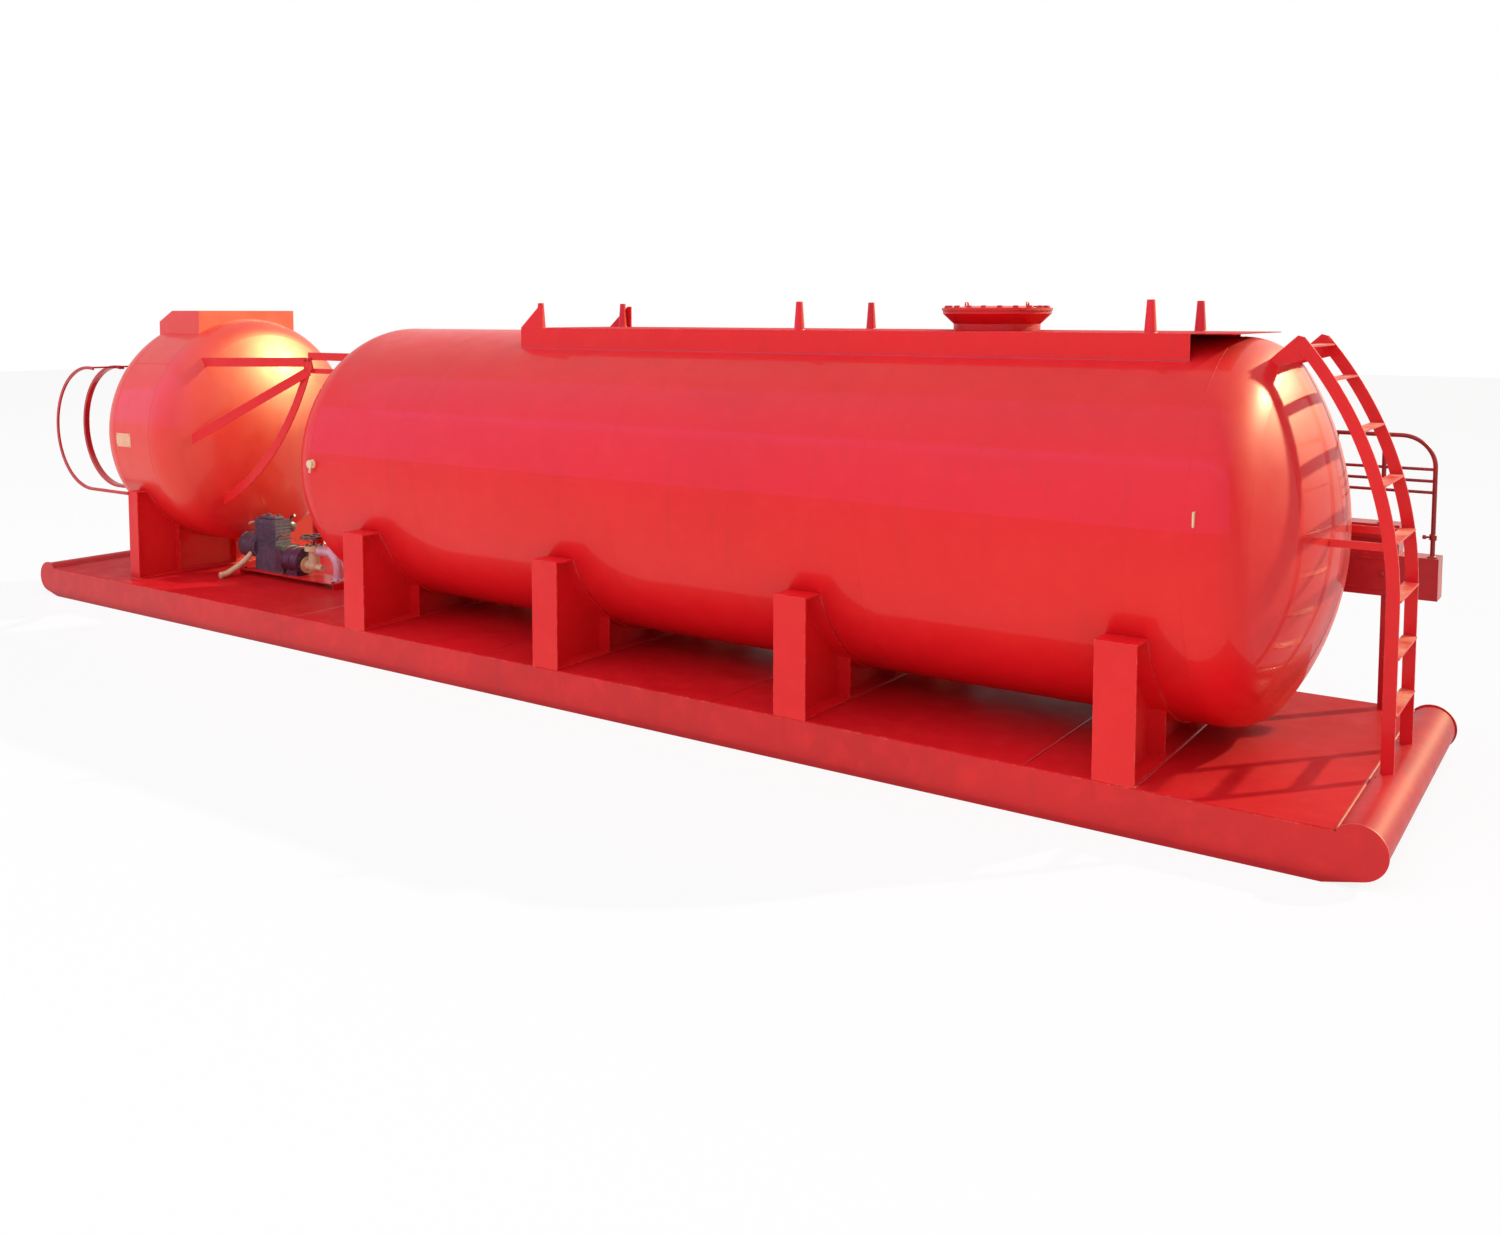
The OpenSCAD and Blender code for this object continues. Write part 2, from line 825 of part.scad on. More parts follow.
front_runner();
rear_runner();
centre_beams();
cross_members();
drag_pipes();
deck_plate();
saddle_1();
saddle_2();
saddle_3();
saddle_4();
tank_course_1();
tank_course_2();
tank_course_3();
tank_course_4();
tank_head_left();
tank_head_right();
walkway_front_plate();
walkway_rear_plate();
walkway_deck();
handrail_sockets();
manhole_neck();
manhole_cover();
ladder_front_stile();
ladder_rear_stile();
ladder_treads();
ladder_brackets();
vessel_shell();
vessel_head_left();
vessel_head_right();
vessel_saddle();
vessel_walkway_frame();
vessel_walkway_deck();
hose_rack();
middle_landing();
landing_braces();
valve_box();
valve_box_post();
hand_hoop();
pump_base();
pump_engine();
pump_gearbox();
pump_casing();
pump_valve();
pump_discharge();
pump_handwheel();
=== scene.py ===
import bpy
import bmesh
from math import asin, cos, pi, radians, sin, sqrt
from mathutils import Euler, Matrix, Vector


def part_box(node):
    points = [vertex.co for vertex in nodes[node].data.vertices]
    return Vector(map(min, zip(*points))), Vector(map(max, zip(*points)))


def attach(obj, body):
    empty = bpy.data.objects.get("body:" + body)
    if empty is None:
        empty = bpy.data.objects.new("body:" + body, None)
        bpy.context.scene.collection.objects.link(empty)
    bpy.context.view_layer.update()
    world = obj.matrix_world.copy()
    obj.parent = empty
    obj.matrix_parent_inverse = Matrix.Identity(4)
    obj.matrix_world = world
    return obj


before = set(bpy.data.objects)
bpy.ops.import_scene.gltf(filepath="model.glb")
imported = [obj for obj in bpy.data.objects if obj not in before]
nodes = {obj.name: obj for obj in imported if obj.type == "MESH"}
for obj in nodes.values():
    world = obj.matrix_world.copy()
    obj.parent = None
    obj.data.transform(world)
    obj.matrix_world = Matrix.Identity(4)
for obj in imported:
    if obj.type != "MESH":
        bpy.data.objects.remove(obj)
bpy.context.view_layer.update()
print("frame loaded,", len(nodes), "CAD nodes")


# mesh helpers

def newPiece(name, bm, material, sharp=35):
    mesh = bpy.data.meshes.new(name)
    bmesh.ops.recalc_face_normals(bm, faces=bm.faces)
    bm.to_mesh(mesh)
    bm.free()
    mesh.shade_smooth()
    mesh.set_sharp_from_angle(angle=radians(sharp))
    piece = bpy.data.objects.new(name, mesh)
    bpy.context.scene.collection.objects.link(piece)
    mesh.materials.append(material)
    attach(piece, "root")


def turns(count, start=0.0):
    # even angles around a circle
    return [2 * pi * (k + start) / count for k in range(count)]


def axes(direction):
    # two directions square to the given one, then the given one at unit length
    along = Vector(direction).normalized()
    side = along.cross(Vector((0, 0, 1)) if abs(along.z) < 0.9 else Vector((1, 0, 0)))
    side.normalize()
    return side, along.cross(side).normalized(), along


def heading(points, i, closed):
    # which way a line of points runs at one of them
    if closed:
        return (points[(i + 1) % len(points)] - points[i - 1]).normalized()
    return (points[min(i + 1, len(points) - 1)] - points[max(i - 1, 0)]).normalized()


def ringOf(bm, center, side, up, radius, count):
    return [bm.verts.new(center + side * (radius * cos(t)) + up * (radius * sin(t))) for t in turns(count)]


def bridge(bm, a, b):
    n = len(a)
    for k in range(n):
        bm.faces.new((a[k], a[(k + 1) % n], b[(k + 1) % n], b[k]))


def skin(bm, rings, closed=False):
    # walls between the rings, and a lid on each end of an open row
    for a, b in zip(rings, rings[1:]):
        bridge(bm, a, b)
    if closed:
        bridge(bm, rings[-1], rings[0])
    else:
        bm.faces.new(rings[0][::-1])
        bm.faces.new(rings[-1])


def addTurned(bm, start, direction, profile, count=32):
    # profile: pairs of distance along the direction and radius
    side, up, along = axes(direction)
    start = Vector(start)
    rings = [ringOf(bm, start + along * far, side, up, max(radius, 0.0004), count) for far, radius in profile]
    skin(bm, rings)


def addHexBolt(bm, at, direction, across=0.03, height=0.0125, washer=0.0035):
    side, up, along = axes(direction)
    at = Vector(at)
    addTurned(bm, at, along, [(0, across * 0.78), (washer, across * 0.78)], 20)
    corner = across / sqrt(3)
    levels = ((washer, 1.0), (washer + height * 0.86, 1.0), (washer + height, 0.84))
    skin(bm, [ringOf(bm, at + along * far, side, up, corner * size, 6) for far, size in levels])


def addTube(bm, points, radius, count=14, closed=False):
    # a round bar swept along a line of points, with an even frame from ring to ring
    points = [Vector(p) for p in points]
    radii = radius if isinstance(radius, list) else [radius] * len(points)
    rings, side = [], None
    for i, point in enumerate(points):
        d = heading(points, i, closed)
        side = axes(d)[0] if side is None else (side - d * side.dot(d)).normalized()
        rings.append(ringOf(bm, point, side, d.cross(side).normalized(), radii[i], count))
    skin(bm, rings, closed)


def addHoop(bm, x, y, z, radius, thick, steps, sides=8):
    # a thin ring that stands square to X
    circle = [(x, y + radius * cos(t), z + radius * sin(t)) for t in turns(steps)]
    addTube(bm, circle, thick, sides, closed=True)


def addBar(bm, low, high, chamfer=0.0015):
    # a box with its upright edges and its rims slightly broken
    (x0, y0, z0), (x1, y1, z1) = low, high
    c = min(chamfer, (x1 - x0) / 4, (y1 - y0) / 4, (z1 - z0) / 4)

    def outline(inset, z):
        a, b, e, f = x0 + inset, x1 - inset, y0 + inset, y1 - inset
        spots = ((a + c, e), (b - c, e), (b, e + c), (b, f - c),
                 (b - c, f), (a + c, f), (a, f - c), (a, e + c))
        return [bm.verts.new((x, y, z)) for x, y in spots]
    skin(bm, [outline(c, z0), outline(0, z0 + c), outline(0, z1 - c), outline(c, z1)])


beadShape = {"steps": 5, "sunk": 0.0004, "ripple": 0.2, "straightRipple": 0.18, "pitch": 0.02}


def addBead(bm, points, normals, width, height, ripple=beadShape["ripple"], closed=False):
    # a welded bead: a low arch that follows the points, rising along the normals
    steps = beadShape["steps"]
    points = [Vector(p) for p in points]
    rows = []
    for i, point in enumerate(points):
        n = Vector(normals[i]).normalized()
        across = heading(points, i, closed).cross(n).normalized()
        lift = height * (1 + ripple * sin(i * 2.1) + 0.5 * ripple * sin(i * 0.73))
        arch = [(width / 2 * cos(pi * k / steps), lift * sin(pi * k / steps) - beadShape["sunk"])
                for k in range(steps + 1)]
        rows.append([bm.verts.new(point + across * wide + n * tall) for wide, tall in arch])
    for a, b in list(zip(rows, rows[1:])) + ([(rows[-1], rows[0])] if closed else []):
        for k in range(steps):
            bm.faces.new((a[k], a[k + 1], b[k + 1], b[k]))


def addStraightBead(bm, start, end, normal, width, height, pitch=beadShape["pitch"]):
    a, b = Vector(start), Vector(end)
    n = max(2, int((b - a).length / pitch))
    spots = [a.lerp(b, k / n) for k in range(n + 1)]
    addBead(bm, spots, [normal] * (n + 1), width, height, beadShape["straightRipple"])


# helpers for finishes

def feed(tree, socket, value):
    if isinstance(value, bpy.types.NodeSocket):
        tree.links.new(value, socket)
    else:
        socket.default_value = value


def addNode(tree, kind, settings=None, **inputs):
    node = tree.nodes.new("ShaderNode" + kind)
    for key, value in (settings or {}).items():
        setattr(node, key, value)
    for key, value in inputs.items():
        feed(tree, node.inputs[key.replace("_", " ")], value)
    return node


def toLinear(level):
    share = level / 255
    return share / 12.92 if share <= 0.04045 else ((share + 0.055) / 1.055) ** 2.4


def rgb(r, g, b):
    # a colour as it is seen on a screen, 0 to 255, turned to scene values
    return tuple(toLinear(c) for c in (r, g, b)) + (1.0,)


def mixColor(tree, factor, a, b):
    node = addNode(tree, "Mix", {"data_type": "RGBA"})
    for index, value in ((0, factor), (6, a), (7, b)):
        feed(tree, node.inputs[index], value)
    return node.outputs[2]


def remap(tree, value, span, toLow=0.0, toHigh=1.0):
    node = addNode(tree, "MapRange", {"clamp": True}, Value=value)
    for index, level in enumerate((span[0], span[1], toLow, toHigh)):
        node.inputs[index + 1].default_value = level
    return node.outputs[0]


def times(tree, a, b, operation="MULTIPLY"):
    node = addNode(tree, "Math", {"operation": operation})
    feed(tree, node.inputs[0], a)
    feed(tree, node.inputs[1], b)
    return node.outputs[0]


def noiseAt(tree, coords, scale, detail=3.0, roughness=0.5, stretch=None):
    if stretch:
        coords = addNode(tree, "Mapping", None, Vector=coords, Scale=stretch).outputs[0]
    noise = addNode(tree, "TexNoise", None, Vector=coords, Scale=scale, Detail=detail, Roughness=roughness)
    return noise.outputs[0]


# what all the paints share: scales of the noises, and the span of each mask
grain = {"clouds": (0.35, 0.65), "mottle": (0.48, 0.72), "runs": (0.55, 0.80), "runStretch": (7.0, 7.0, 0.5),
         "level": (0.55, 0.98), "patches": (0.40, 0.70), "patchScale": 3.1, "edges": (0.97, 0.80),
         "chips": (0.50, 0.60), "chipScale": 22.0, "chipDepth": 0.0006, "chipStrength": 0.6,
         "sheen": (0.30, 0.70), "sheenScale": 5.3, "dustRough": 0.35,
         "waveStretch": (1.0, 1.0, 1.6), "peelScale": 190.0, "peelStrength": 0.25}


def makePaint(name, look):
    material = bpy.data.materials.new(name)
    material.use_nodes = True
    tree = material.node_tree
    tree.nodes.clear()
    coords = addNode(tree, "TexCoord").outputs["Object"]
    normal = addNode(tree, "NewGeometry").outputs["Normal"]

    # the coat of paint: clouds, mottle and runs
    clouds = remap(tree, noiseAt(tree, coords, look["cloudScale"], 2.0), grain["clouds"])
    color = mixColor(tree, clouds, look["base"], look["shade"])
    mottle = noiseAt(tree, coords, look["mottleScale"], 5.0, 0.6)
    color = mixColor(tree, remap(tree, mottle, grain["mottle"], 0.0, look["mottle"]), color, look["fade"])
    runs = noiseAt(tree, coords, 1.0, 3.0, 0.5, grain["runStretch"])
    color = mixColor(tree, remap(tree, runs, grain["runs"], 0.0, look["runs"]), color, look["grime"])

    # dust on what faces up; on the ladder treads the same mask paints sunlight on their top faces
    facing = addNode(tree, "SeparateXYZ", None, Vector=normal).outputs["Z"]
    patches = remap(tree, noiseAt(tree, coords, grain["patchScale"], 6.0, 0.62), grain["patches"])
    dust = times(tree, times(tree, remap(tree, facing, grain["level"]), patches), look["dustiness"])
    color = mixColor(tree, dust, color, look["dust"])

    # primer where edges are chipped
    rounded = addNode(tree, "Bevel", {"samples": 4}, Radius=look["edge"]).outputs[0]
    spread = addNode(tree, "VectorMath", {"operation": "DOT_PRODUCT"})
    feed(tree, spread.inputs[0], rounded)
    feed(tree, spread.inputs[1], normal)
    nearEdge = remap(tree, spread.outputs["Value"], grain["edges"])
    chips = remap(tree, noiseAt(tree, coords, grain["chipScale"], 6.0, 0.7), grain["chips"])
    worn = times(tree, times(tree, nearEdge, chips), look["wear"])
    color = mixColor(tree, worn, color, look["primer"])

    sheen = remap(tree, noiseAt(tree, coords, grain["sheenScale"], 4.0), grain["sheen"], *look["rough"])
    sheen = times(tree, sheen, times(tree, dust, grain["dustRough"]), "ADD")

    # plate waves, orange peel, and the step at each chip
    waves = noiseAt(tree, coords, look["waveScale"], 1.0, 0.4, grain["waveStretch"])
    bumps = addNode(tree, "Bump", None, Height=waves, Strength=1.0, Distance=look["waves"])
    peel = noiseAt(tree, coords, grain["peelScale"], 2.0, 0.5)
    bumps = addNode(tree, "Bump", None, Height=peel, Strength=grain["peelStrength"], Distance=look["peel"],
                    Normal=bumps.outputs[0])
    bumps = addNode(tree, "Bump", {"invert": True}, Height=worn, Strength=grain["chipStrength"],
                    Distance=grain["chipDepth"], Normal=bumps.outputs[0])

    shader = addNode(tree, "BsdfPrincipled", None, Base_Color=color, Roughness=sheen, Normal=bumps.outputs[0])
    shader.inputs["Specular IOR Level"].default_value = look["specular"]
    # the warm tint on the paint's reflections is painted sunlit glare
    shader.inputs["Specular Tint"].default_value = look["glare"]
    shader.inputs["Coat Weight"].default_value = look["coat"]
    shader.inputs["Coat Roughness"].default_value = look["coatRough"]
    shader.inputs["Metallic"].default_value = look["metallic"]
    addNode(tree, "OutputMaterial", None, Surface=shader.outputs[0])
    return material


paintColors = ("base", "shade", "fade", "grime", "dust", "primer")


def variant(look, **changes):
    copy = dict(look)
    for key, value in changes.items():
        copy[key] = rgb(*value) if key in paintColors else value
    return copy


# finishes

# glare: a warm tint on the paint's reflections, painted sunlit glare
redLook = variant({}, base=(228, 22, 32), shade=(222, 20, 30), fade=(235, 40, 42), grime=(184, 30, 38),
                  dust=(234, 66, 60), primer=(236, 120, 100), cloudScale=0.8, mottleScale=7.0, mottle=0.26,
                  runs=0.20, dustiness=0.26, wear=0.5, edge=0.006, rough=(0.42, 0.50), waveScale=1.35,
                  waves=0.010, peel=0.0004, specular=0.32, glare=(1.0, 0.80, 0.42, 1), coat=0.26,
                  coatRough=0.05, metallic=0.0)
plainLook = variant(redLook, glare=(1, 1, 1, 1), specular=0.4)

glossRed = makePaint("glossRed", redLook)
vesselRed = makePaint("vesselRed", variant(redLook, specular=1.0))
# darker red on the drag pipes is painted shade, as on the skid
shadedPipeRed = makePaint("shadedPipeRed", variant(
    redLook, base=(204, 30, 40), shade=(190, 26, 36), mottle=0.4, waves=0.003, specular=0.12,
    coat=0.12, coatRough=0.16))
# darker red on the skid's runners, beams and cross members is painted shade
shadedSkidRed = makePaint("shadedSkidRed", variant(
    redLook, base=(210, 28, 38), shade=(196, 24, 36), grime=(150, 28, 36), mottle=0.4, wear=0.9, edge=0.008,
    waves=0.003, waveScale=2.0, coat=0.2, coatRough=0.16))
steelRed = makePaint("structureRed", variant(
    redLook, wear=0.8, edge=0.008, rough=(0.5, 0.62), waves=0.002, waveScale=3.0, coat=0.3, coatRough=0.14))
deckRed = makePaint("deckRed", variant(
    redLook, base=(214, 26, 36), shade=(198, 22, 32), fade=(226, 44, 46), dust=(226, 60, 56), mottle=0.35,
    dustiness=0.18, rough=(0.5, 0.66), waves=0.02, waveScale=0.9, specular=0.06, coat=0.06, coatRough=0.25))
# the treads' pale peach top faces are painted sunlight, laid on through the dust mask
treadRed = makePaint("treadRed", variant(
    redLook, dust=(244, 176, 140), dustiness=0.95, wear=1.0, edge=0.01, rough=(0.4, 0.55), waves=0.001,
    coat=0.2, coatRough=0.3))
rackRed = makePaint("rackRed", variant(
    redLook, base=(196, 24, 38), shade=(168, 20, 34), wear=0.9, edge=0.005, waves=0.001, coat=0.5))
# darker red on the valve box, its post and its trim is painted shade
shadedBoxRed = makePaint("shadedBoxRed", variant(
    redLook, base=(192, 32, 44), shade=(160, 26, 38), dustiness=0.5, waves=0.002, coat=0.3, coatRough=0.2))
# much darker red on the hand hoop and its fittings is painted shade
shadedHoopRed = makePaint("shadedHoopRed", variant(
    redLook, base=(170, 34, 40), shade=(136, 28, 34), wear=0.9, edge=0.004, waves=0.001, coat=0.3))
seamRed = makePaint("seamRed", variant(
    redLook, base=(190, 20, 32), shade=(170, 16, 28), grime=(120, 18, 26), mottle=0.3, wear=0.3,
    waves=0.0015, waveScale=9.0, coat=0.6))
boltSteel = makePaint("boltSteel", variant(
    redLook, base=(206, 44, 50), shade=(180, 34, 42), fade=(222, 90, 84), grime=(120, 40, 40),
    primer=(196, 170, 160), mottle=0.5, mottleScale=30.0, wear=1.0, edge=0.003, waves=0.0005, coat=0.2))
engineGrey = makePaint("engineGrey", variant(
    plainLook, base=(98, 78, 92), shade=(72, 58, 72), fade=(128, 108, 116), grime=(50, 40, 46),
    dust=(150, 110, 110), primer=(150, 140, 140), mottle=0.5, mottleScale=16.0, rough=(0.45, 0.65),
    waves=0.001, coat=0.1))
gearGreen = makePaint("gearGreen", variant(
    plainLook, base=(92, 92, 72), shade=(70, 70, 58), fade=(124, 112, 88), grime=(48, 44, 40),
    dust=(130, 104, 88), primer=(140, 136, 124), mottle=0.6, mottleScale=18.0, rough=(0.5, 0.7),
    waves=0.002, coat=0.05))
pumpSlate = makePaint("pumpSlate", variant(
    plainLook, base=(98, 44, 62), shade=(74, 34, 50), fade=(128, 64, 84), grime=(46, 26, 34),
    dust=(140, 80, 84), primer=(150, 130, 130), mottle=0.5, mottleScale=16.0, rough=(0.45, 0.62),
    waves=0.001, coat=0.1))
paleFitting = makePaint("paleFitting", variant(
    plainLook, base=(236, 214, 172), shade=(222, 192, 148), fade=(244, 230, 200), grime=(196, 148, 112),
    dust=(214, 176, 140), primer=(150, 120, 100), mottle=0.5, mottleScale=20.0, runs=0.5,
    rough=(0.35, 0.5), waves=0.001, coat=0.15))
palePipe = makePaint("palePipe", variant(
    plainLook, base=(232, 196, 204), shade=(222, 168, 180), fade=(242, 222, 226), grime=(200, 120, 132),
    dust=(220, 170, 160), primer=(160, 110, 104), mottle=0.5, mottleScale=14.0, runs=0.4,
    rough=(0.3, 0.42), waves=0.001, coat=0.3))
wheelMetal = makePaint("wheelMetal", variant(
    plainLook, base=(112, 96, 92), shade=(84, 70, 68), fade=(150, 136, 126), grime=(60, 46, 42),
    dust=(150, 116, 100), primer=(190, 184, 176), mottle=0.6, mottleScale=24.0, rough=(0.35, 0.55),
    waves=0.001, coat=0.0, metallic=0.6))
rubberBlack = makePaint("rubberBlack", variant(
    plainLook, base=(44, 38, 40), shade=(34, 30, 32), fade=(64, 56, 56), grime=(26, 22, 24),
    dust=(96, 72, 68), primer=(80, 72, 70), mottle=0.4, mottleScale=22.0, wear=0.4, edge=0.003,
    rough=(0.6, 0.8), waves=0.0008, coat=0.0))
plateMetal = makePaint("plateMetal", variant(
    redLook, base=(238, 178, 140), shade=(228, 150, 116), fade=(246, 210, 176), grime=(200, 100, 80),
    dust=(230, 150, 120), primer=(200, 120, 100), mottle=0.6, mottleScale=26.0, runs=0.4,
    rough=(0.32, 0.48), waves=0.0006, coat=0.2))
fuelLine = makePaint("fuelLine", variant(
    redLook, base=(226, 96, 44), shade=(206, 70, 34), fade=(240, 140, 80), mottle=0.4, mottleScale=20.0,
    rough=(0.3, 0.4), waves=0.0005, coat=0.4))
print("finishes made")

finishOf = {"front_runner": shadedSkidRed, "rear_runner": shadedSkidRed, "centre_beams": shadedSkidRed,
            "cross_members": shadedSkidRed, "drag_pipes": shadedPipeRed, "deck_plate": deckRed, "walkway_deck": deckRed,
            "vessel_walkway_deck": deckRed, "vessel_walkway_frame": vesselRed, "vessel_shell": vesselRed,
            "vessel_head_left": vesselRed, "vessel_head_right": vesselRed, "ladder_treads": treadRed,
            "hose_rack": rackRed, "valve_box": shadedBoxRed, "valve_box_post": shadedBoxRed, "hand_hoop": shadedHoopRed,
            "pump_engine": engineGrey, "pump_gearbox": gearGreen, "pump_casing": pumpSlate,
            "pump_valve": paleFitting, "pump_discharge": palePipe, "pump_handwheel": wheelMetal}
for name, node in nodes.items():
    plain = glossRed if name.startswith(("tank_", "manhole")) else steelRed
    node.data.materials.clear()
    node.data.materials.append(finishOf.get(name, plain))
print("CAD nodes painted")


# welds on the main tank

def addRingBead(bm, x, radius, z, look):
    spots = [(x, radius * cos(t), z + radius * sin(t)) for t in turns(look["ringSteps"])]
    outward = [(0, cos(t), sin(t)) for t in turns(look["ringSteps"])]
    addBead(bm, spots, outward, look["width"], look["height"], closed=True)


def addSeam(bm, low, high, radius, z, side, angle, look):
    # a weld along a lying shell, on one side, at an angle above its middle
    out = (0, side * cos(radians(angle)), sin(radians(angle)))
    ends = [(x, radius * out[1], z + radius * out[2]) for x in (low.x, high.x)]
    addStraightBead(bm, *ends, out, look["seamWidth"], look["seamHeight"])


tankWelds = {"width": 0.008, "height": 0.0013, "ringSteps": 260, "seamWidth": 0.006, "seamHeight": 0.0011,
             "frontTurns": (3.4, 5.6, 7.8, 9.6), "rearTurn": 40, "rearSpread": 3}
courses = [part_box("tank_course_%d" % i) for i in (1, 2, 3, 4)]
firstLow, firstHigh = courses[0]
tankZ = (firstLow.z + firstHigh.z) / 2
tankR = (firstHigh.z - firstLow.z) / 2
bm = bmesh.new()
for x in [firstLow.x] + [high.x for low, high in courses]:
    addRingBead(bm, x, tankR, tankZ, tankWelds)
for (low, high), turn in zip(courses, tankWelds["frontTurns"]):
    addSeam(bm, low, high, tankR, tankZ, -1, turn, tankWelds)
    addSeam(bm, low, high, tankR, tankZ, 1, tankWelds["rearTurn"] + tankWelds["rearSpread"] * turn, tankWelds)
newPiece("tank_welds", bm, glossRed, 60)

# welds on the service vessel
vesselWelds = {"width": 0.008, "height": 0.0013, "ringSteps": 240, "seamWidth": 0.008, "seamHeight": 0.0024,
               "turn": 38}
shellLow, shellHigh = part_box("vessel_shell")
vesselZ = (shellLow.z + shellHigh.z) / 2
vesselR = (shellHigh.z - shellLow.z) / 2
bm = bmesh.new()
for x in (shellLow.x, shellHigh.x):
    addRingBead(bm, x, vesselR, vesselZ, vesselWelds)
for side in (-1, 1):
    addSeam(bm, shellLow, shellHigh, vesselR, vesselZ, side, vesselWelds["turn"], vesselWelds)
newPiece("vessel_welds", bm, glossRed, 60)

# fillet welds of the saddles, along the deck and along the shell
saddleWelds = {"footWidth": 0.0144, "shellWidth": 0.0135, "height": 0.0045, "pitch": 0.03, "shellSteps": 90,
               "deckHalf": 1.2}
bm = bmesh.new()
saddles = [("saddle_%d" % i, tankZ, tankR) for i in (1, 2, 3, 4)] + [("vessel_saddle", vesselZ, vesselR)]
for name, z, r in saddles:
    low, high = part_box(name)
    foot = (saddleWelds["footWidth"], saddleWelds["height"], saddleWelds["pitch"])
    for side, y in ((-1, low.y), (1, high.y)):
        if abs(y) < saddleWelds["deckHalf"]:
            addStraightBead(bm, (low.x, y, low.z), (high.x, y, low.z), (0, side, 1), *foot)
    for side, x in ((-1, low.x), (1, high.x)):
        addStraightBead(bm, (x, low.y, low.z), (x, high.y, low.z), (side, 0, 1), *foot)
    reach = asin(min(1, (z - high.z) / r))
    steps = saddleWelds["shellSteps"]
    arc = [reach + (pi - 2 * reach) * k / steps for k in range(steps + 1)]
    for side, x in ((-1, low.x), (1, high.x)):
        addBead(bm, [(x, r * cos(t), z - r * sin(t)) for t in arc], [(side, cos(t), -sin(t)) for t in arc],
                saddleWelds["shellWidth"], saddleWelds["height"])
newPiece("saddle_welds", bm, seamRed, 60)

# cross seams of the deck plate, and the welds at its two ends
deckWelds = {"seams": (-4.4, -2.2, 0.0, 2.2, 4.4), "width": 0.016, "height": 0.0022, "inset": 0.004,
             "endHeight": 0.006, "endInset": 0.02, "endDrop": 0.001}
deckLow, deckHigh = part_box("deck_plate")
deckZ = deckHigh.z
bm = bmesh.new()
front, rear = deckLow.y + deckWelds["inset"], deckHigh.y - deckWelds["inset"]
for x in deckWelds["seams"]:
    addStraightBead(bm, (x, front, deckZ), (x, rear, deckZ), (0, 0, 1), deckWelds["width"],
                    deckWelds["height"])
front, rear = deckLow.y + deckWelds["endInset"], deckHigh.y - deckWelds["endInset"]
z = deckZ - deckWelds["endDrop"]
for side, x in ((-1, deckLow.x), (1, deckHigh.x)):
    addStraightBead(bm, (x, front, z), (x, rear, z), (side, 0, 1), deckWelds["width"],
                    deckWelds["endHeight"])
newPiece("deck_welds", bm, seamRed, 60)
print("welds laid")


# manhole: bolts, gasket and two lifting handles

manholeFit = {"bolts": 20, "circle": 0.327, "lid": 0.018, "gasketR": 0.0035, "gasketInset": 0.0015,
              "gasketSteps": 96, "handleFrom": 0.2, "handleTurn": 0.3, "handleSpan": 0.13,
              "handleRise": 0.026, "handleR": 0.006, "handleSink": 0.004, "handleBow": 0.35}
coverLow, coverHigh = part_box("manhole_cover")
neckLow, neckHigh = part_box("manhole_neck")
hatchX = (coverLow.x + coverHigh.x) / 2
bm = bmesh.new()
r = manholeFit["circle"]
for t in turns(manholeFit["bolts"], 0.5):
    addHexBolt(bm, (hatchX + r * cos(t), r * sin(t), coverLow.z + manholeFit["lid"]), (0, 0, 1))
newPiece("manhole_bolts", bm, boltSteel)
bm = bmesh.new()
r = (neckHigh.x - neckLow.x) / 2 - manholeFit["gasketInset"]
circle = [(hatchX + r * cos(t), r * sin(t), coverLow.z) for t in turns(manholeFit["gasketSteps"])]
addTube(bm, circle, manholeFit["gasketR"], 8, closed=True)
newPiece("manhole_gasket", bm, rubberBlack)
bm = bmesh.new()
for t in (manholeFit["handleTurn"], pi + manholeFit["handleTurn"]):
    out = manholeFit["handleFrom"]
    mid = Vector((hatchX + out * cos(t), out * sin(t), coverHigh.z - manholeFit["handleSink"]))
    along = Vector((-sin(t), cos(t), 0)) * (manholeFit["handleSpan"] / 2)
    rise = Vector((0, 0, manholeFit["handleRise"]))
    climb = (pi / 6, pi / 3, pi / 2)
    bend = [along * ((1 - cos(a)) * manholeFit["handleBow"]) for a in climb]
    lift = [rise * sin(a) for a in climb]
    bow = [mid - along] + [mid - along + b + up for b, up in zip(bend, lift)]
    bow += [mid + along - b + up for b, up in zip(bend[::-1], lift[::-1])] + [mid + along]
    addTube(bm, bow, manholeFit["handleR"], 12)
newPiece("manhole_handles", bm, steelRed)

# welds on top: around the neck's foot, around the handrail sockets, and along the walkway's side plates
topWelds = {"neckInset": 0.071, "neckSteps": 120, "neckWidth": 0.012, "neckHeight": 0.006,
            "socketR": 0.037, "socketMiddle": 2.41, "socketSteps": 28, "socketWidth": 0.010,
            "socketHeight": 0.004, "plateWidth": 0.014, "plateHeight": 0.004}
bm = bmesh.new()
r = (neckHigh.x - neckLow.x) / 2 - topWelds["neckInset"]
neckTurns = turns(topWelds["neckSteps"])
spots = [(hatchX + r * cos(t), r * sin(t), tankZ + sqrt(tankR ** 2 - (r * sin(t)) ** 2)) for t in neckTurns]
outward = [(cos(t), sin(t), 1.0) for t in neckTurns]
addBead(bm, spots, outward, topWelds["neckWidth"], topWelds["neckHeight"], closed=True)
railLow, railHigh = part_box("handrail_sockets")
r = topWelds["socketR"]
socketTurns = turns(topWelds["socketSteps"])
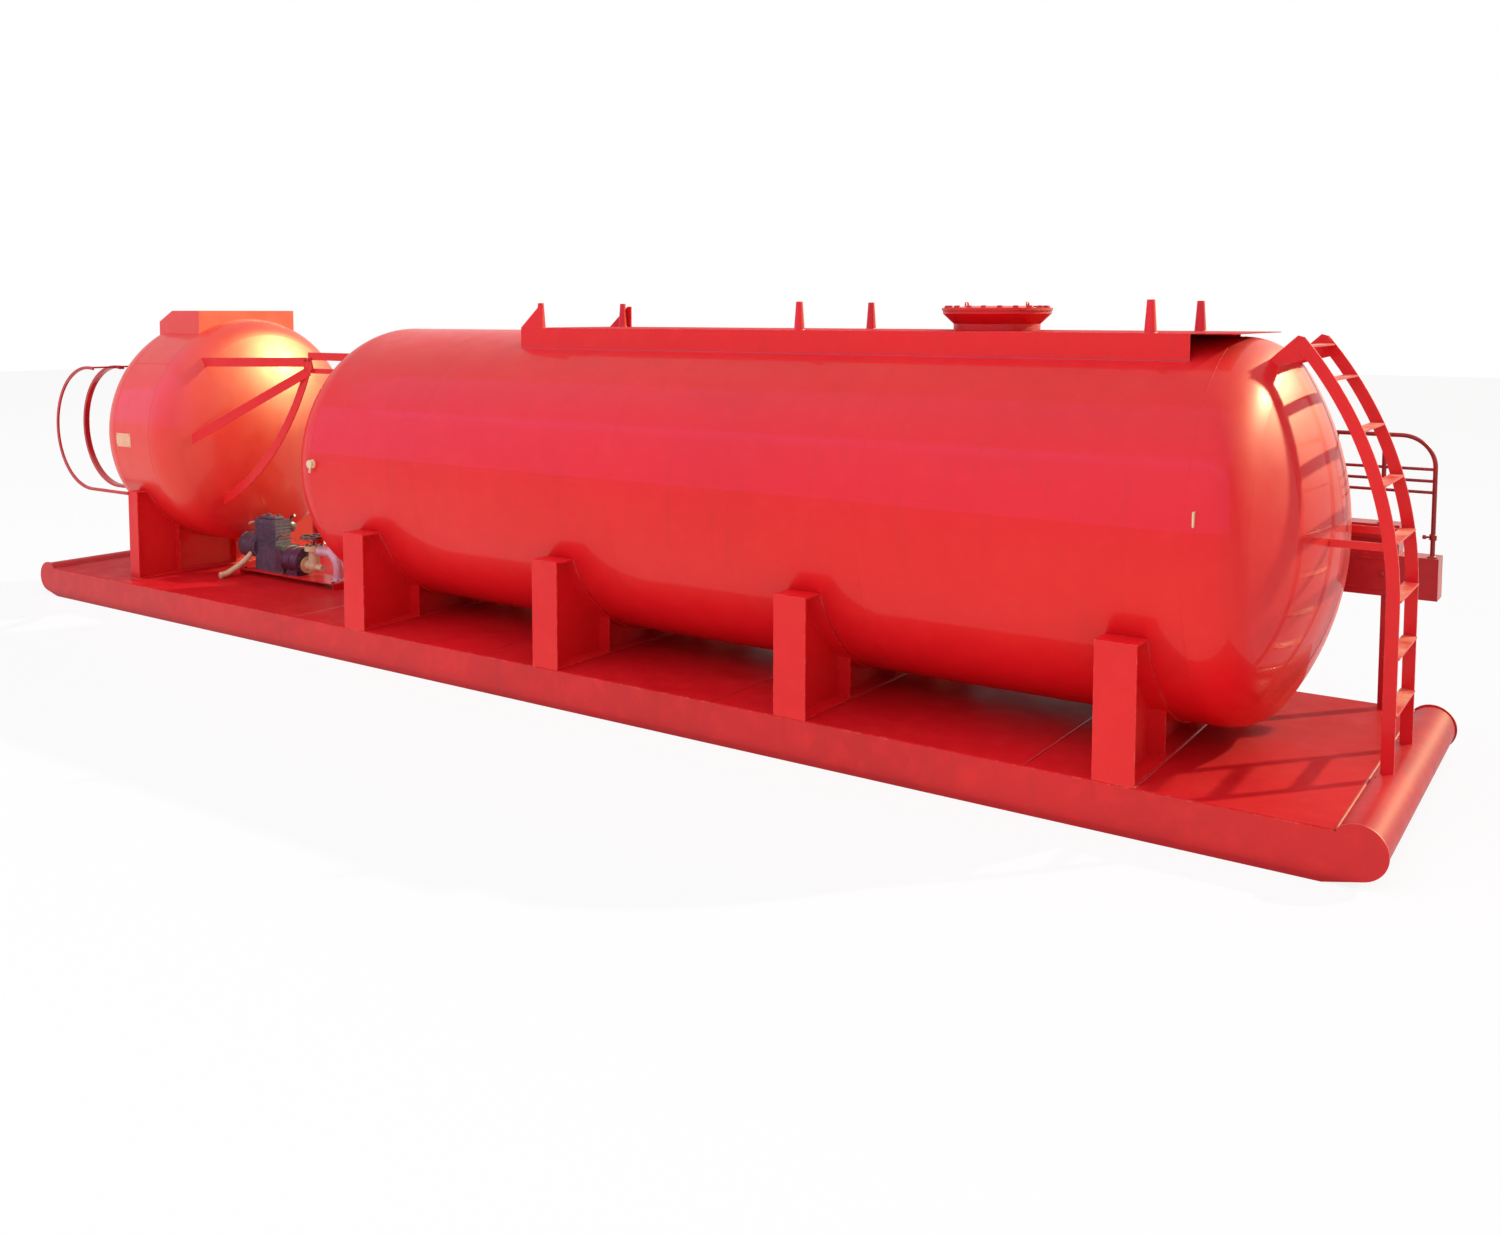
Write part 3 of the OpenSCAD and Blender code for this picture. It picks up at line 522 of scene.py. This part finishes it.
for x in (railLow.x + r, topWelds["socketMiddle"], railHigh.x - r):
    for y in (railLow.y + r, railHigh.y - r):
        spots = [(x + r * cos(t), y + r * sin(t), railLow.z) for t in socketTurns]
        outward = [(cos(t), sin(t), 1) for t in socketTurns]
        addBead(bm, spots, outward, topWelds["socketWidth"], topWelds["socketHeight"], closed=True)
for name in ("walkway_front_plate", "walkway_rear_plate"):
    low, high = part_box(name)
    side = -1 if low.y < 0 else 1
    y = low.y if side < 0 else high.y
    z = tankZ + sqrt(tankR ** 2 - y ** 2)
    addStraightBead(bm, (low.x, y, z), (high.x, y, z), (0, side, 0.7), topWelds["plateWidth"],
                    topWelds["plateHeight"])
newPiece("top_welds", bm, seamRed, 60)
print("manhole and walkway dressed")


# ladder: feet with bolts, and small welds where the treads meet the stiles

ladderFit = {"footLength": 0.13, "footWidth": 0.07, "footThick": 0.010, "gap": 0.006, "bolt": 0.022,
             "boltHeight": 0.011, "boltSpan": 0.042, "boltShift": 0.008, "halfDepth": 0.035}
frontLow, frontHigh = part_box("ladder_front_stile")
rearLow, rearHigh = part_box("ladder_rear_stile")
ladderX = frontHigh.x - ladderFit["halfDepth"]
footTop = deckZ + ladderFit["footThick"]
feet, feetBolts = bmesh.new(), bmesh.new()
for y in ((frontLow.y + frontHigh.y) / 2, (rearLow.y + rearHigh.y) / 2):
    side = -1 if y < 0 else 1
    inner = y + side * ladderFit["gap"]
    outer = inner + side * ladderFit["footWidth"]
    half = ladderFit["footLength"] / 2
    addBar(feet, (ladderX - half, min(inner, outer), deckZ), (ladderX + half, max(inner, outer), footTop),
           0.003)
    for dx in (-ladderFit["boltSpan"], ladderFit["boltSpan"]):
        spot = (ladderX + dx, (inner + outer) / 2 + side * ladderFit["boltShift"], footTop)
        addHexBolt(feetBolts, spot, (0, 0, 1), ladderFit["bolt"], ladderFit["boltHeight"])
newPiece("ladder_feet", feet, steelRed)
newPiece("ladder_foot_bolts", feetBolts, boltSteel)

rungs = {"first": 0.36, "pitch": 0.32, "count": 7, "bendZ": 1.25, "radius": 2.295, "beadHalf": 0.03,
         "halfThick": 0.005, "width": 0.010, "height": 0.004, "beadPitch": 0.01}
treadLow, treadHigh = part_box("ladder_treads")
bm = bmesh.new()
for i in range(rungs["count"]):
    climb = rungs["first"] + i * rungs["pitch"]
    turn = max(0.0, (climb - (rungs["bendZ"] - deckZ)) / rungs["radius"])
    x = ladderX - rungs["radius"] * (1 - cos(turn))
    z = deckZ + climb if turn == 0 else rungs["bendZ"] + rungs["radius"] * sin(turn)
    for y, side in ((treadLow.y, 1), (treadHigh.y, -1)):
        for lift in (-1, 1):
            middle = Vector((x, y, z)) + Vector((0, 0, lift * rungs["halfThick"]))
            half = Vector((rungs["beadHalf"], 0, 0))
            addStraightBead(bm, middle - half, middle + half, (0, side, lift), rungs["width"],
                            rungs["height"], rungs["beadPitch"])
newPiece("ladder_welds", bm, seamRed, 60)
print("ladder dressed")


# blank data plate on the vessel's side, with four rivets

dataPlate = {"width": 0.24, "height": 0.13, "x": -4.925, "z": 1.64, "thick": 0.003, "gap": 0.002,
             "columns": 8, "rows": 10, "rivetX": 0.105, "rivetZ": 0.052,
             "rivet": [(0, 0.005), (0.004, 0.005), (0.0065, 0.0035), (0.0075, 0.0015)]}
columns, rows = dataPlate["columns"], dataPlate["rows"]


def vesselFace(z, proud):
    return -sqrt((vesselR + proud) ** 2 - (z - vesselZ) ** 2)


def platePoint(i, j):
    x = dataPlate["x"] + dataPlate["width"] * (i / columns - 0.5)
    z = dataPlate["z"] + dataPlate["height"] * (j / rows - 0.5)
    rim = 0.0 if i in (0, columns) or j in (0, rows) else dataPlate["thick"]
    return x, vesselFace(z, dataPlate["gap"] + rim), z


bm = bmesh.new()
grid = [[bm.verts.new(platePoint(i, j)) for i in range(columns + 1)] for j in range(rows + 1)]
for j in range(rows):
    for i in range(columns):
        bm.faces.new((grid[j][i], grid[j][i + 1], grid[j + 1][i + 1], grid[j + 1][i]))
newPiece("vessel_data_plate", bm, plateMetal)
bm = bmesh.new()
for dx in (-dataPlate["rivetX"], dataPlate["rivetX"]):
    for z in (dataPlate["z"] - dataPlate["rivetZ"], dataPlate["z"] + dataPlate["rivetZ"]):
        y = vesselFace(z, 0.004) + 0.002
        addTurned(bm, (dataPlate["x"] + dx, y, z), (0, -1, 0), dataPlate["rivet"], 14)
newPiece("data_plate_rivets", bm, boltSteel)

# sample cock at the main tank's left seam, with its drooping spout
sampleCock = {"x": -2.00, "z": 1.60, "r": 0.038, "spoutR": 0.010}
x, z, r = sampleCock["x"], sampleCock["z"], sampleCock["r"]
y = -sqrt(tankR ** 2 - (z - tankZ) ** 2)
body = [(0, r), (0.012, r), (0.014, r * 0.7), (0.030, r * 0.66), (0.032, r * 0.9), (0.042, r * 0.9),
        (0.046, r * 0.72)]
spout = [(x, y - 0.024, z - 0.012), (x, y - 0.026, z - 0.045), (x + 0.002, y - 0.034, z - 0.07)]
bm = bmesh.new()
addTurned(bm, (x, y + 0.004, z), (0, -1, 0), body, 28)
addTube(bm, spout, sampleCock["spoutR"])
newPiece("sample_cock", bm, paleFitting)

# earth lug at the main tank's right end
earthLug = {"x": 5.295, "z": 1.77, "tall": 0.085, "out": 0.018, "sunk": 0.03, "thick": 0.010}
x, z, half = earthLug["x"], earthLug["z"], earthLug["tall"] / 2
y = -sqrt(tankR ** 2 - (z - tankZ) ** 2)
bm = bmesh.new()
addBar(bm, (x - earthLug["thick"] / 2, y - earthLug["out"], z - half),
       (x + earthLug["thick"] / 2, y + earthLug["sunk"], z + half), 0.003)
newPiece("earth_lug", bm, paleFitting)
print("small fittings made")


# pump set: the engine's fins, rocker cover and muffler

engineLow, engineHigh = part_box("pump_engine")
gearLow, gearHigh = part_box("pump_gearbox")
casingLow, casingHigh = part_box("pump_casing")
dischargeLow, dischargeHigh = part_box("pump_discharge")
baseLow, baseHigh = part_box("pump_base")
midY = (baseLow.y + baseHigh.y) / 2

engineFins = {"count": 7, "x": (-4.02, -3.714), "z": (0.60, 0.80), "reach": 0.097, "halfThick": 0.004}
lowX, highX = engineFins["x"]
lowZ, highZ = engineFins["z"]
reach, thick = engineFins["reach"], engineFins["halfThick"]
bm = bmesh.new()
for k in range(engineFins["count"]):
    z = lowZ + (highZ - lowZ) * k / (engineFins["count"] - 1)
    addBar(bm, (lowX, midY - reach, z - thick), (highX, midY + reach, z + thick), 0.002)
newPiece("engine_fins", bm, engineGrey)

rockerCover = {"low": (-4.02, -0.06, -0.002), "high": (-3.76, 0.05, 0.03), "chamfer": 0.012, "seat": 0.028,
               "capAt": (-3.93, -0.005), "cap": [(0, 0.022), (0.006, 0.026), (0.016, 0.026), (0.020, 0.020)],
               "ventAt": (-3.81, 0.02), "vent": [(0, 0.014), (0.02, 0.014), (0.022, 0.010)]}
corner = Vector((0, midY, engineHigh.z))
seatZ = engineHigh.z + rockerCover["seat"]
bm = bmesh.new()
addBar(bm, corner + Vector(rockerCover["low"]), corner + Vector(rockerCover["high"]), rockerCover["chamfer"])
for (x, dy), profile, count in ((rockerCover["capAt"], rockerCover["cap"], 24),
                                (rockerCover["ventAt"], rockerCover["vent"], 18)):
    addTurned(bm, (x, midY + dy, seatZ), (0, 0, 1), profile, count)
newPiece("engine_rocker_cover", bm, engineGrey)

muffler = {"x": -4.0, "z": 0.76, "back": 0.097, "out": 0.055, "pipeR": 0.020, "tailR": 0.014,
           "can": [(0, 0.034), (0.006, 0.046), (0.014, 0.052), (0.216, 0.052), (0.224, 0.046), (0.23, 0.034)],
           "pipe": [(-3.9, -0.02, 0.72), (-3.9, 0.02, 0.72), (-3.9, 0.05, 0.735)],
           "tail": [(-3.80, 0.055, 0.80), (-3.80, 0.055, 0.84), (-3.785, 0.06, 0.865), (-3.75, 0.065, 0.875)]}
back = midY + muffler["back"]
bm = bmesh.new()
addTurned(bm, (muffler["x"], back + muffler["out"], muffler["z"]), (1, 0, 0), muffler["can"], 32)
addTube(bm, [(x, back + dy, z) for x, dy, z in muffler["pipe"]], muffler["pipeR"], 16)
addTube(bm, [(x, back + dy, z) for x, dy, z in muffler["tail"]], muffler["tailR"])
newPiece("engine_muffler", bm, wheelMetal)

# the engine's round end: air slots, and two bands with bolts
fan = {"r": 0.12, "z": 0.57, "slots": 18, "slotFrom": 0.42, "slotTo": 0.86, "innerHalf": 0.004,
       "outerHalf": 0.008, "proud": 0.0002, "deep": 0.006, "bands": (0.008, 0.207), "bandR": 0.005,
       "bandSteps": 64, "bolts": 6, "boltX": 0.208}
fanX, r = engineLow.x, fan["r"]
hub = Vector((fanX, midY, fan["z"]))
bm = bmesh.new()
for t in turns(fan["slots"]):
    out, across = Vector((0, cos(t), sin(t))), Vector((0, -sin(t), cos(t)))
    near, far = hub + out * (r * fan["slotFrom"]), hub + out * (r * fan["slotTo"])
    inner, outer = across * fan["innerHalf"], across * fan["outerHalf"]
    spots = (near - inner, near + inner, far + outer, far - outer)
    layers = [Vector((dx, 0, 0)) for dx in (fan["proud"], fan["deep"])]
    skin(bm, [[bm.verts.new(spot + layer) for spot in spots] for layer in layers])
newPiece("fan_slots", bm, rubberBlack)
bm = bmesh.new()
for dx in fan["bands"]:
    addHoop(bm, fanX + dx, midY, fan["z"], r + 0.001, fan["bandR"], fan["bandSteps"])
for t in turns(fan["bolts"], 0.5):
    spot = (fanX + fan["boltX"], midY + (r + 0.003) * cos(t), fan["z"] + (r + 0.003) * sin(t))
    addHexBolt(bm, spot, (0, cos(t), sin(t)), 0.014, 0.006, 0.002)
newPiece("fan_bands", bm, engineGrey)

# the engine's lever, drain pipe and fuel line
lever = {"r": 0.008, "knob": 1.6,
         "path": [(-4.04, -0.02, 0.815), (-4.09, -0.03, 0.812), (-4.15, -0.035, 0.80), (-4.22, -0.04, 0.775)]}
bm = bmesh.new()
radii = [lever["r"]] * 3 + [lever["r"] * lever["knob"]]
addTube(bm, [(x, midY + dy, z) for x, dy, z in lever["path"]], radii, 12)
newPiece("engine_lever", bm, palePipe)

drain = {"path": [(-4.172, -0.592, 0.031), (-4.160, -0.540, 0.044), (-4.140, -0.460, 0.088),
                  (-4.118, -0.380, 0.142), (-4.108, -0.330, 0.190), (-4.105, -0.295, 0.225)],
         "radii": [0.030, 0.030, 0.029, 0.028, 0.027, 0.026],
         "mouth": [(-0.004, 0.034), (0.020, 0.034), (0.026, 0.026)]}
path = [(x, y, deckZ + dz) for x, y, dz in drain["path"]]
bm = bmesh.new()
addTube(bm, path, drain["radii"], 20)
addTurned(bm, path[0], (-0.2, -0.95, -0.05), drain["mouth"], 24)
newPiece("engine_drain_pipe", bm, paleFitting)

fuel = {"r": 0.007, "path": [(-3.73, -0.03, 0.705), (-3.66, -0.032, 0.705), (-3.50, -0.034, 0.700),
                             (-3.36, -0.034, 0.694), (-3.27, -0.03, 0.684), (-3.24, -0.028, 0.668),
                             (-3.235, -0.028, 0.648)]}
bm = bmesh.new()
addTube(bm, [(x, midY + dy, z) for x, dy, z in fuel["path"]], fuel["r"], 12)
newPiece("engine_fuel_line", bm, fuelLine)

# the pump's studs and ribs, and the bolts of the valve, the base and the gearbox
pumpFit = {"casingR": 0.125, "axisZ": 0.485, "studs": 8, "studCircle": 0.105, "valveX": -3.25,
           "valveCircle": 0.072, "valveTop": 0.65, "stud": (0.016, 0.009, 0.002), "baseBolt": (0.020, 0.010),
           "gearBolt": (0.013, 0.006, 0.002), "ribR": 0.007, "ribSteps": 72}
bm = bmesh.new()
out = pumpFit["studCircle"]
for t in turns(pumpFit["studs"], 0.5):
    spot = (casingHigh.x, midY + out * cos(t), pumpFit["axisZ"] + out * sin(t))
    addHexBolt(bm, spot, (1, 0, 0), *pumpFit["stud"])
out = pumpFit["valveCircle"]
for t in turns(pumpFit["studs"], 0.5):
    spot = (pumpFit["valveX"] + out * cos(t), midY + out * sin(t), pumpFit["valveTop"])
    addHexBolt(bm, spot, (0, 0, 1), *pumpFit["stud"])
for x in (baseLow.x + 0.05, baseHigh.x - 0.05):
    for y in (baseLow.y + 0.035, baseHigh.y - 0.035):
        addHexBolt(bm, (x, y, baseHigh.z), (0, 0, 1), *pumpFit["baseBolt"])
for x in (gearLow.x + 0.02, gearHigh.x - 0.02):
    for z in (gearLow.z + 0.04, gearHigh.z - 0.04):
        addHexBolt(bm, (x, gearLow.y, z), (0, -1, 0), *pumpFit["gearBolt"])
newPiece("pump_studs", bm, wheelMetal)
bm = bmesh.new()
for x in (casingLow.x + 0.012, casingLow.x + 0.12, casingHigh.x - 0.012):
    addHoop(bm, x, midY, pumpFit["axisZ"], pumpFit["casingR"], pumpFit["ribR"], pumpFit["ribSteps"])
addBar(bm, (gearLow.x + 0.012, gearLow.y - 0.008, gearLow.z + 0.03),
       (gearHigh.x - 0.012, gearLow.y + 0.002, gearHigh.z - 0.03), 0.004)
newPiece("pump_ribs", bm, pumpSlate)

# flange at the foot of the discharge pipe
dischargeFoot = {"inset": 0.045, "profile": [(0, 0.072), (0.012, 0.072), (0.014, 0.050), (0.020, 0.047)],
                 "bolts": 4, "circle": 0.060, "thick": 0.012, "bolt": (0.014, 0.007, 0.002)}
footX = dischargeHigh.x - dischargeFoot["inset"]
footZ = dischargeLow.z
bm = bmesh.new()
addTurned(bm, (footX, midY, footZ), (0, 0, 1), dischargeFoot["profile"], 40)
newPiece("discharge_foot", bm, palePipe)
bm = bmesh.new()
for t in turns(dischargeFoot["bolts"], 0.5):
    out = dischargeFoot["circle"]
    spot = (footX + out * cos(t), midY + out * sin(t), footZ + dischargeFoot["thick"])
    addHexBolt(bm, spot, (0, 0, 1), *dischargeFoot["bolt"])
newPiece("discharge_foot_bolts", bm, wheelMetal)
print("pump set dressed")


# valve box: the door's frame, hinges and knob, and a line under the lid

boxFit = {"doorX": (5.585, 5.905), "doorZ": (1.09, 1.285), "halfRim": 0.005, "proud": 0.004,
          "hinges": (1.125, 1.25), "hingeR": 0.006, "hingeHalf": 0.02, "knobZ": 1.19,
          "knob": [(0, 0.012), (0.01, 0.010), (0.016, 0.016), (0.026, 0.016), (0.03, 0.011)],
          "lid": (1.313, 1.318), "lidEnd": 5.9605, "lidProud": 0.0005}
boxLow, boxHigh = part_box("valve_box")
face = boxLow.y
(leftX, rightX), (lowZ, highZ), h = boxFit["doorX"], boxFit["doorZ"], boxFit["halfRim"]
sides = (((leftX, lowZ), (rightX, lowZ)), ((leftX, highZ), (rightX, highZ)),
         ((leftX, lowZ), (leftX, highZ)), ((rightX, lowZ), (rightX, highZ)))
bm = bmesh.new()
for a, b in sides:
    addBar(bm, (a[0] - h, face - boxFit["proud"], a[1] - h), (b[0] + h, face + 0.001, b[1] + h))
for z in boxFit["hinges"]:
    ends = [(leftX - 0.008, face - 0.007, z + dz) for dz in (-boxFit["hingeHalf"], boxFit["hingeHalf"])]
    addTube(bm, ends, boxFit["hingeR"])
addTurned(bm, (rightX - 0.035, face + 0.001, boxFit["knobZ"]), (0, -1, 0), boxFit["knob"], 24)
lidLow = (boxLow.x - boxFit["lidProud"], boxLow.y - boxFit["lidProud"], boxFit["lid"][0])
addBar(bm, lidLow, (boxFit["lidEnd"], boxHigh.y, boxFit["lid"][1]), 0.001)
newPiece("valve_box_trim", bm, shadedBoxRed)

# hand hoop: a collar and a knob on its right post, and flanges at the posts' feet
hoopFit = {"postR": 0.014, "feet": (5.56, 5.85), "footZ": 1.51, "postFootZ": 1.315, "collarZ": 1.425,
           "collar": [(0, 0.018), (0.004, 0.022), (0.036, 0.022), (0.04, 0.018)], "knobZ": 1.445,
           "knob": [(0.016, 0.007), (0.034, 0.007), (0.036, 0.013), (0.052, 0.014), (0.056, 0.010)],
           "foot": [(0, 0.030), (0.006, 0.030), (0.008, 0.019), (0.012, 0.016)]}
hoopLow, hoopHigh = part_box("hand_hoop")
postX = hoopHigh.x - hoopFit["postR"]
postY = (hoopLow.y + hoopHigh.y) / 2
bm = bmesh.new()
addTurned(bm, (postX, postY, hoopFit["collarZ"]), (0, 0, 1), hoopFit["collar"], 28)
addTurned(bm, (postX - 0.005, postY, hoopFit["knobZ"]), (-1, -0.3, 0), hoopFit["knob"], 20)
for x, z in [(x, hoopFit["footZ"]) for x in hoopFit["feet"]] + [(postX, hoopFit["postFootZ"])]:
    addTurned(bm, (x, postY, z), (0, 0, 1), hoopFit["foot"], 28)
newPiece("hoop_fittings", bm, shadedHoopRed)

# bolts of the middle landing's brace plate
landingFit = {"plateBack": 0.05, "proud": 0.012, "bolt": 0.022, "boltHeight": 0.011,
              "spots": ((0.022, 2.44), (0.078, 2.44), (0.025, 2.345), (0.110, 2.345))}
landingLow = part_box("middle_landing")[0]
bm = bmesh.new()
for dx, z in landingFit["spots"]:
    spot = (landingLow.x - landingFit["plateBack"] + dx, landingLow.y - landingFit["proud"], z)
    addHexBolt(bm, spot, (0, -1, 0), landingFit["bolt"], landingFit["boltHeight"])
newPiece("landing_bolts", bm, boltSteel)
print("box, hoop and landing dressed")


# floor and world: white where they are seen or mirrored, and dimmer as a source of light

def seenDirectly(tree):
    path = addNode(tree, "LightPath").outputs
    seen = times(tree, path["Is Camera Ray"], path["Is Transmission Ray"], "MAXIMUM")
    return times(tree, seen, path["Is Glossy Ray"], "MAXIMUM")


def mixShaders(tree, factor, a, b):
    blend = addNode(tree, "MixShader", None, Fac=factor)
    tree.links.new(a.outputs[0], blend.inputs[1])
    tree.links.new(b.outputs[0], blend.inputs[2])
    return blend.outputs[0]


floorLook = {"pale": (0.93, 0.93, 0.94, 1), "under": (0.50, 0.49, 0.49, 1), "glow": 0.88, "half": 60.0}
h = floorLook["half"]
floorMesh = bpy.data.meshes.new("floor")
floorMesh.from_pydata([(-h, -h, 0), (h, -h, 0), (h, h, 0), (-h, h, 0)], [], [(0, 1, 2, 3)])
floor = bpy.data.objects.new("floor", floorMesh)
bpy.context.scene.collection.objects.link(floor)
floorPaint = bpy.data.materials.new("paleFloor")
floorPaint.use_nodes = True
tree = floorPaint.node_tree
tree.nodes.clear()
seen = seenDirectly(tree)
matte = addNode(tree, "BsdfDiffuse", None, Color=mixColor(tree, seen, floorLook["under"], floorLook["pale"]))
glow = addNode(tree, "Emission", None, Color=(1, 1, 1, 1), Strength=1.0)
addNode(tree, "OutputMaterial", None,
        Surface=mixShaders(tree, times(tree, seen, floorLook["glow"]), matte, glow))
floorMesh.materials.append(floorPaint)

sky = {"light": (0.94, 0.94, 1.0, 1), "strength": 0.27}
world = bpy.data.worlds.new("studio")
bpy.context.scene.world = world
world.use_nodes = True
tree = world.node_tree
tree.nodes.clear()
soft = addNode(tree, "Background", None, Color=sky["light"], Strength=sky["strength"])
white = addNode(tree, "Background", None, Color=(1, 1, 1, 1), Strength=1.0)
addNode(tree, "OutputWorld", None, Surface=mixShaders(tree, seenDirectly(tree), soft, white))


# lamps: a low warm sun behind the right end, its glare, and large soft panels in front
# the glare and the violet panels reach the gloss alone, the pale panels the colour alone

def addLamp(name, kind, spot, aim, color, power, size, diffuse=True, glossy=True):
    lamp = bpy.data.lights.new(name, kind)
    lamp.color = color
    lamp.energy = power
    if kind == "AREA":
        lamp.shape = "RECTANGLE"
        lamp.size, lamp.size_y = size
    else:
        lamp.angle = size
    thing = bpy.data.objects.new(name, lamp)
    bpy.context.scene.collection.objects.link(thing)
    thing.location = spot
    thing.rotation_euler = (Vector(spot) - Vector(aim)).to_track_quat("Z", "Y").to_euler()
    thing.visible_camera = False
    thing.visible_diffuse = diffuse
    thing.visible_glossy = glossy


lamps = {"sunTurn": 50, "sunRise": 32, "sunPower": 2.0, "sunColor": (1.0, 0.90, 0.78), "sunSize": 1.2,
         "glarePower": 12.0, "glareColor": (1.0, 0.86, 0.50), "glareSize": 3,
         "pale": (0.97, 0.94, 1.0), "wallPower": 2000, "topPower": 1900,
         "groundPower": 4000, "groundColor": (1.0, 0.96, 0.95),
         "violet": (0.36, 0.20, 1.0), "violetPower": 9500, "violetTopPower": 4500}
turn, rise = radians(lamps["sunTurn"]), radians(lamps["sunRise"])
sunFrom = Vector((cos(rise) * cos(turn), cos(rise) * sin(turn), sin(rise))) * 30
addLamp("sun", "SUN", sunFrom, (0, 0, 0), lamps["sunColor"], lamps["sunPower"], radians(lamps["sunSize"]))
addLamp("sunGlare", "SUN", sunFrom, (0, 0, 0), lamps["glareColor"], lamps["glarePower"],
        radians(lamps["glareSize"]), diffuse=False)
addLamp("frontWall", "AREA", (2, -20, 15), (2, 0, 1.5), lamps["pale"], lamps["wallPower"],
        (46, 14), glossy=False)
addLamp("topPanel", "AREA", (1, -5, 18), (1, -2, 1.5), lamps["pale"], lamps["topPower"],
        (40, 12), glossy=False)
addLamp("groundGlow", "AREA", (0, -14.3, 0.02), (0, -14.3, 5), lamps["groundColor"], lamps["groundPower"],
        (60, 26), glossy=False)
addLamp("violetWall", "AREA", (-4, -22, 14), (-4, 0, 14), lamps["violet"], lamps["violetPower"],
        (94, 21), diffuse=False)
addLamp("violetTop", "AREA", (0, -14, 26), (0, 0, 2), lamps["violet"], lamps["violetTopPower"],
        (70, 20), diffuse=False)

view = {"spot": (7.349, -8.354, 2.864), "down": 4.157, "left": 34.93, "lens": 32.24,
        "shift": (0.0102, -0.138), "film": 36, "farthest": 300}
camera = bpy.data.cameras.new("camera")
camera.sensor_width = view["film"]
camera.lens = view["lens"]
camera.shift_x, camera.shift_y = view["shift"]
camera.clip_end = view["farthest"]
eye = bpy.data.objects.new("camera", camera)
bpy.context.scene.collection.objects.link(eye)
eye.location = view["spot"]
eye.rotation_euler = Euler((radians(90 - view["down"]), 0, radians(view["left"])))
bpy.context.scene.camera = eye
bpy.context.scene.view_settings.view_transform = "Standard"
print("floor, lights and camera placed")
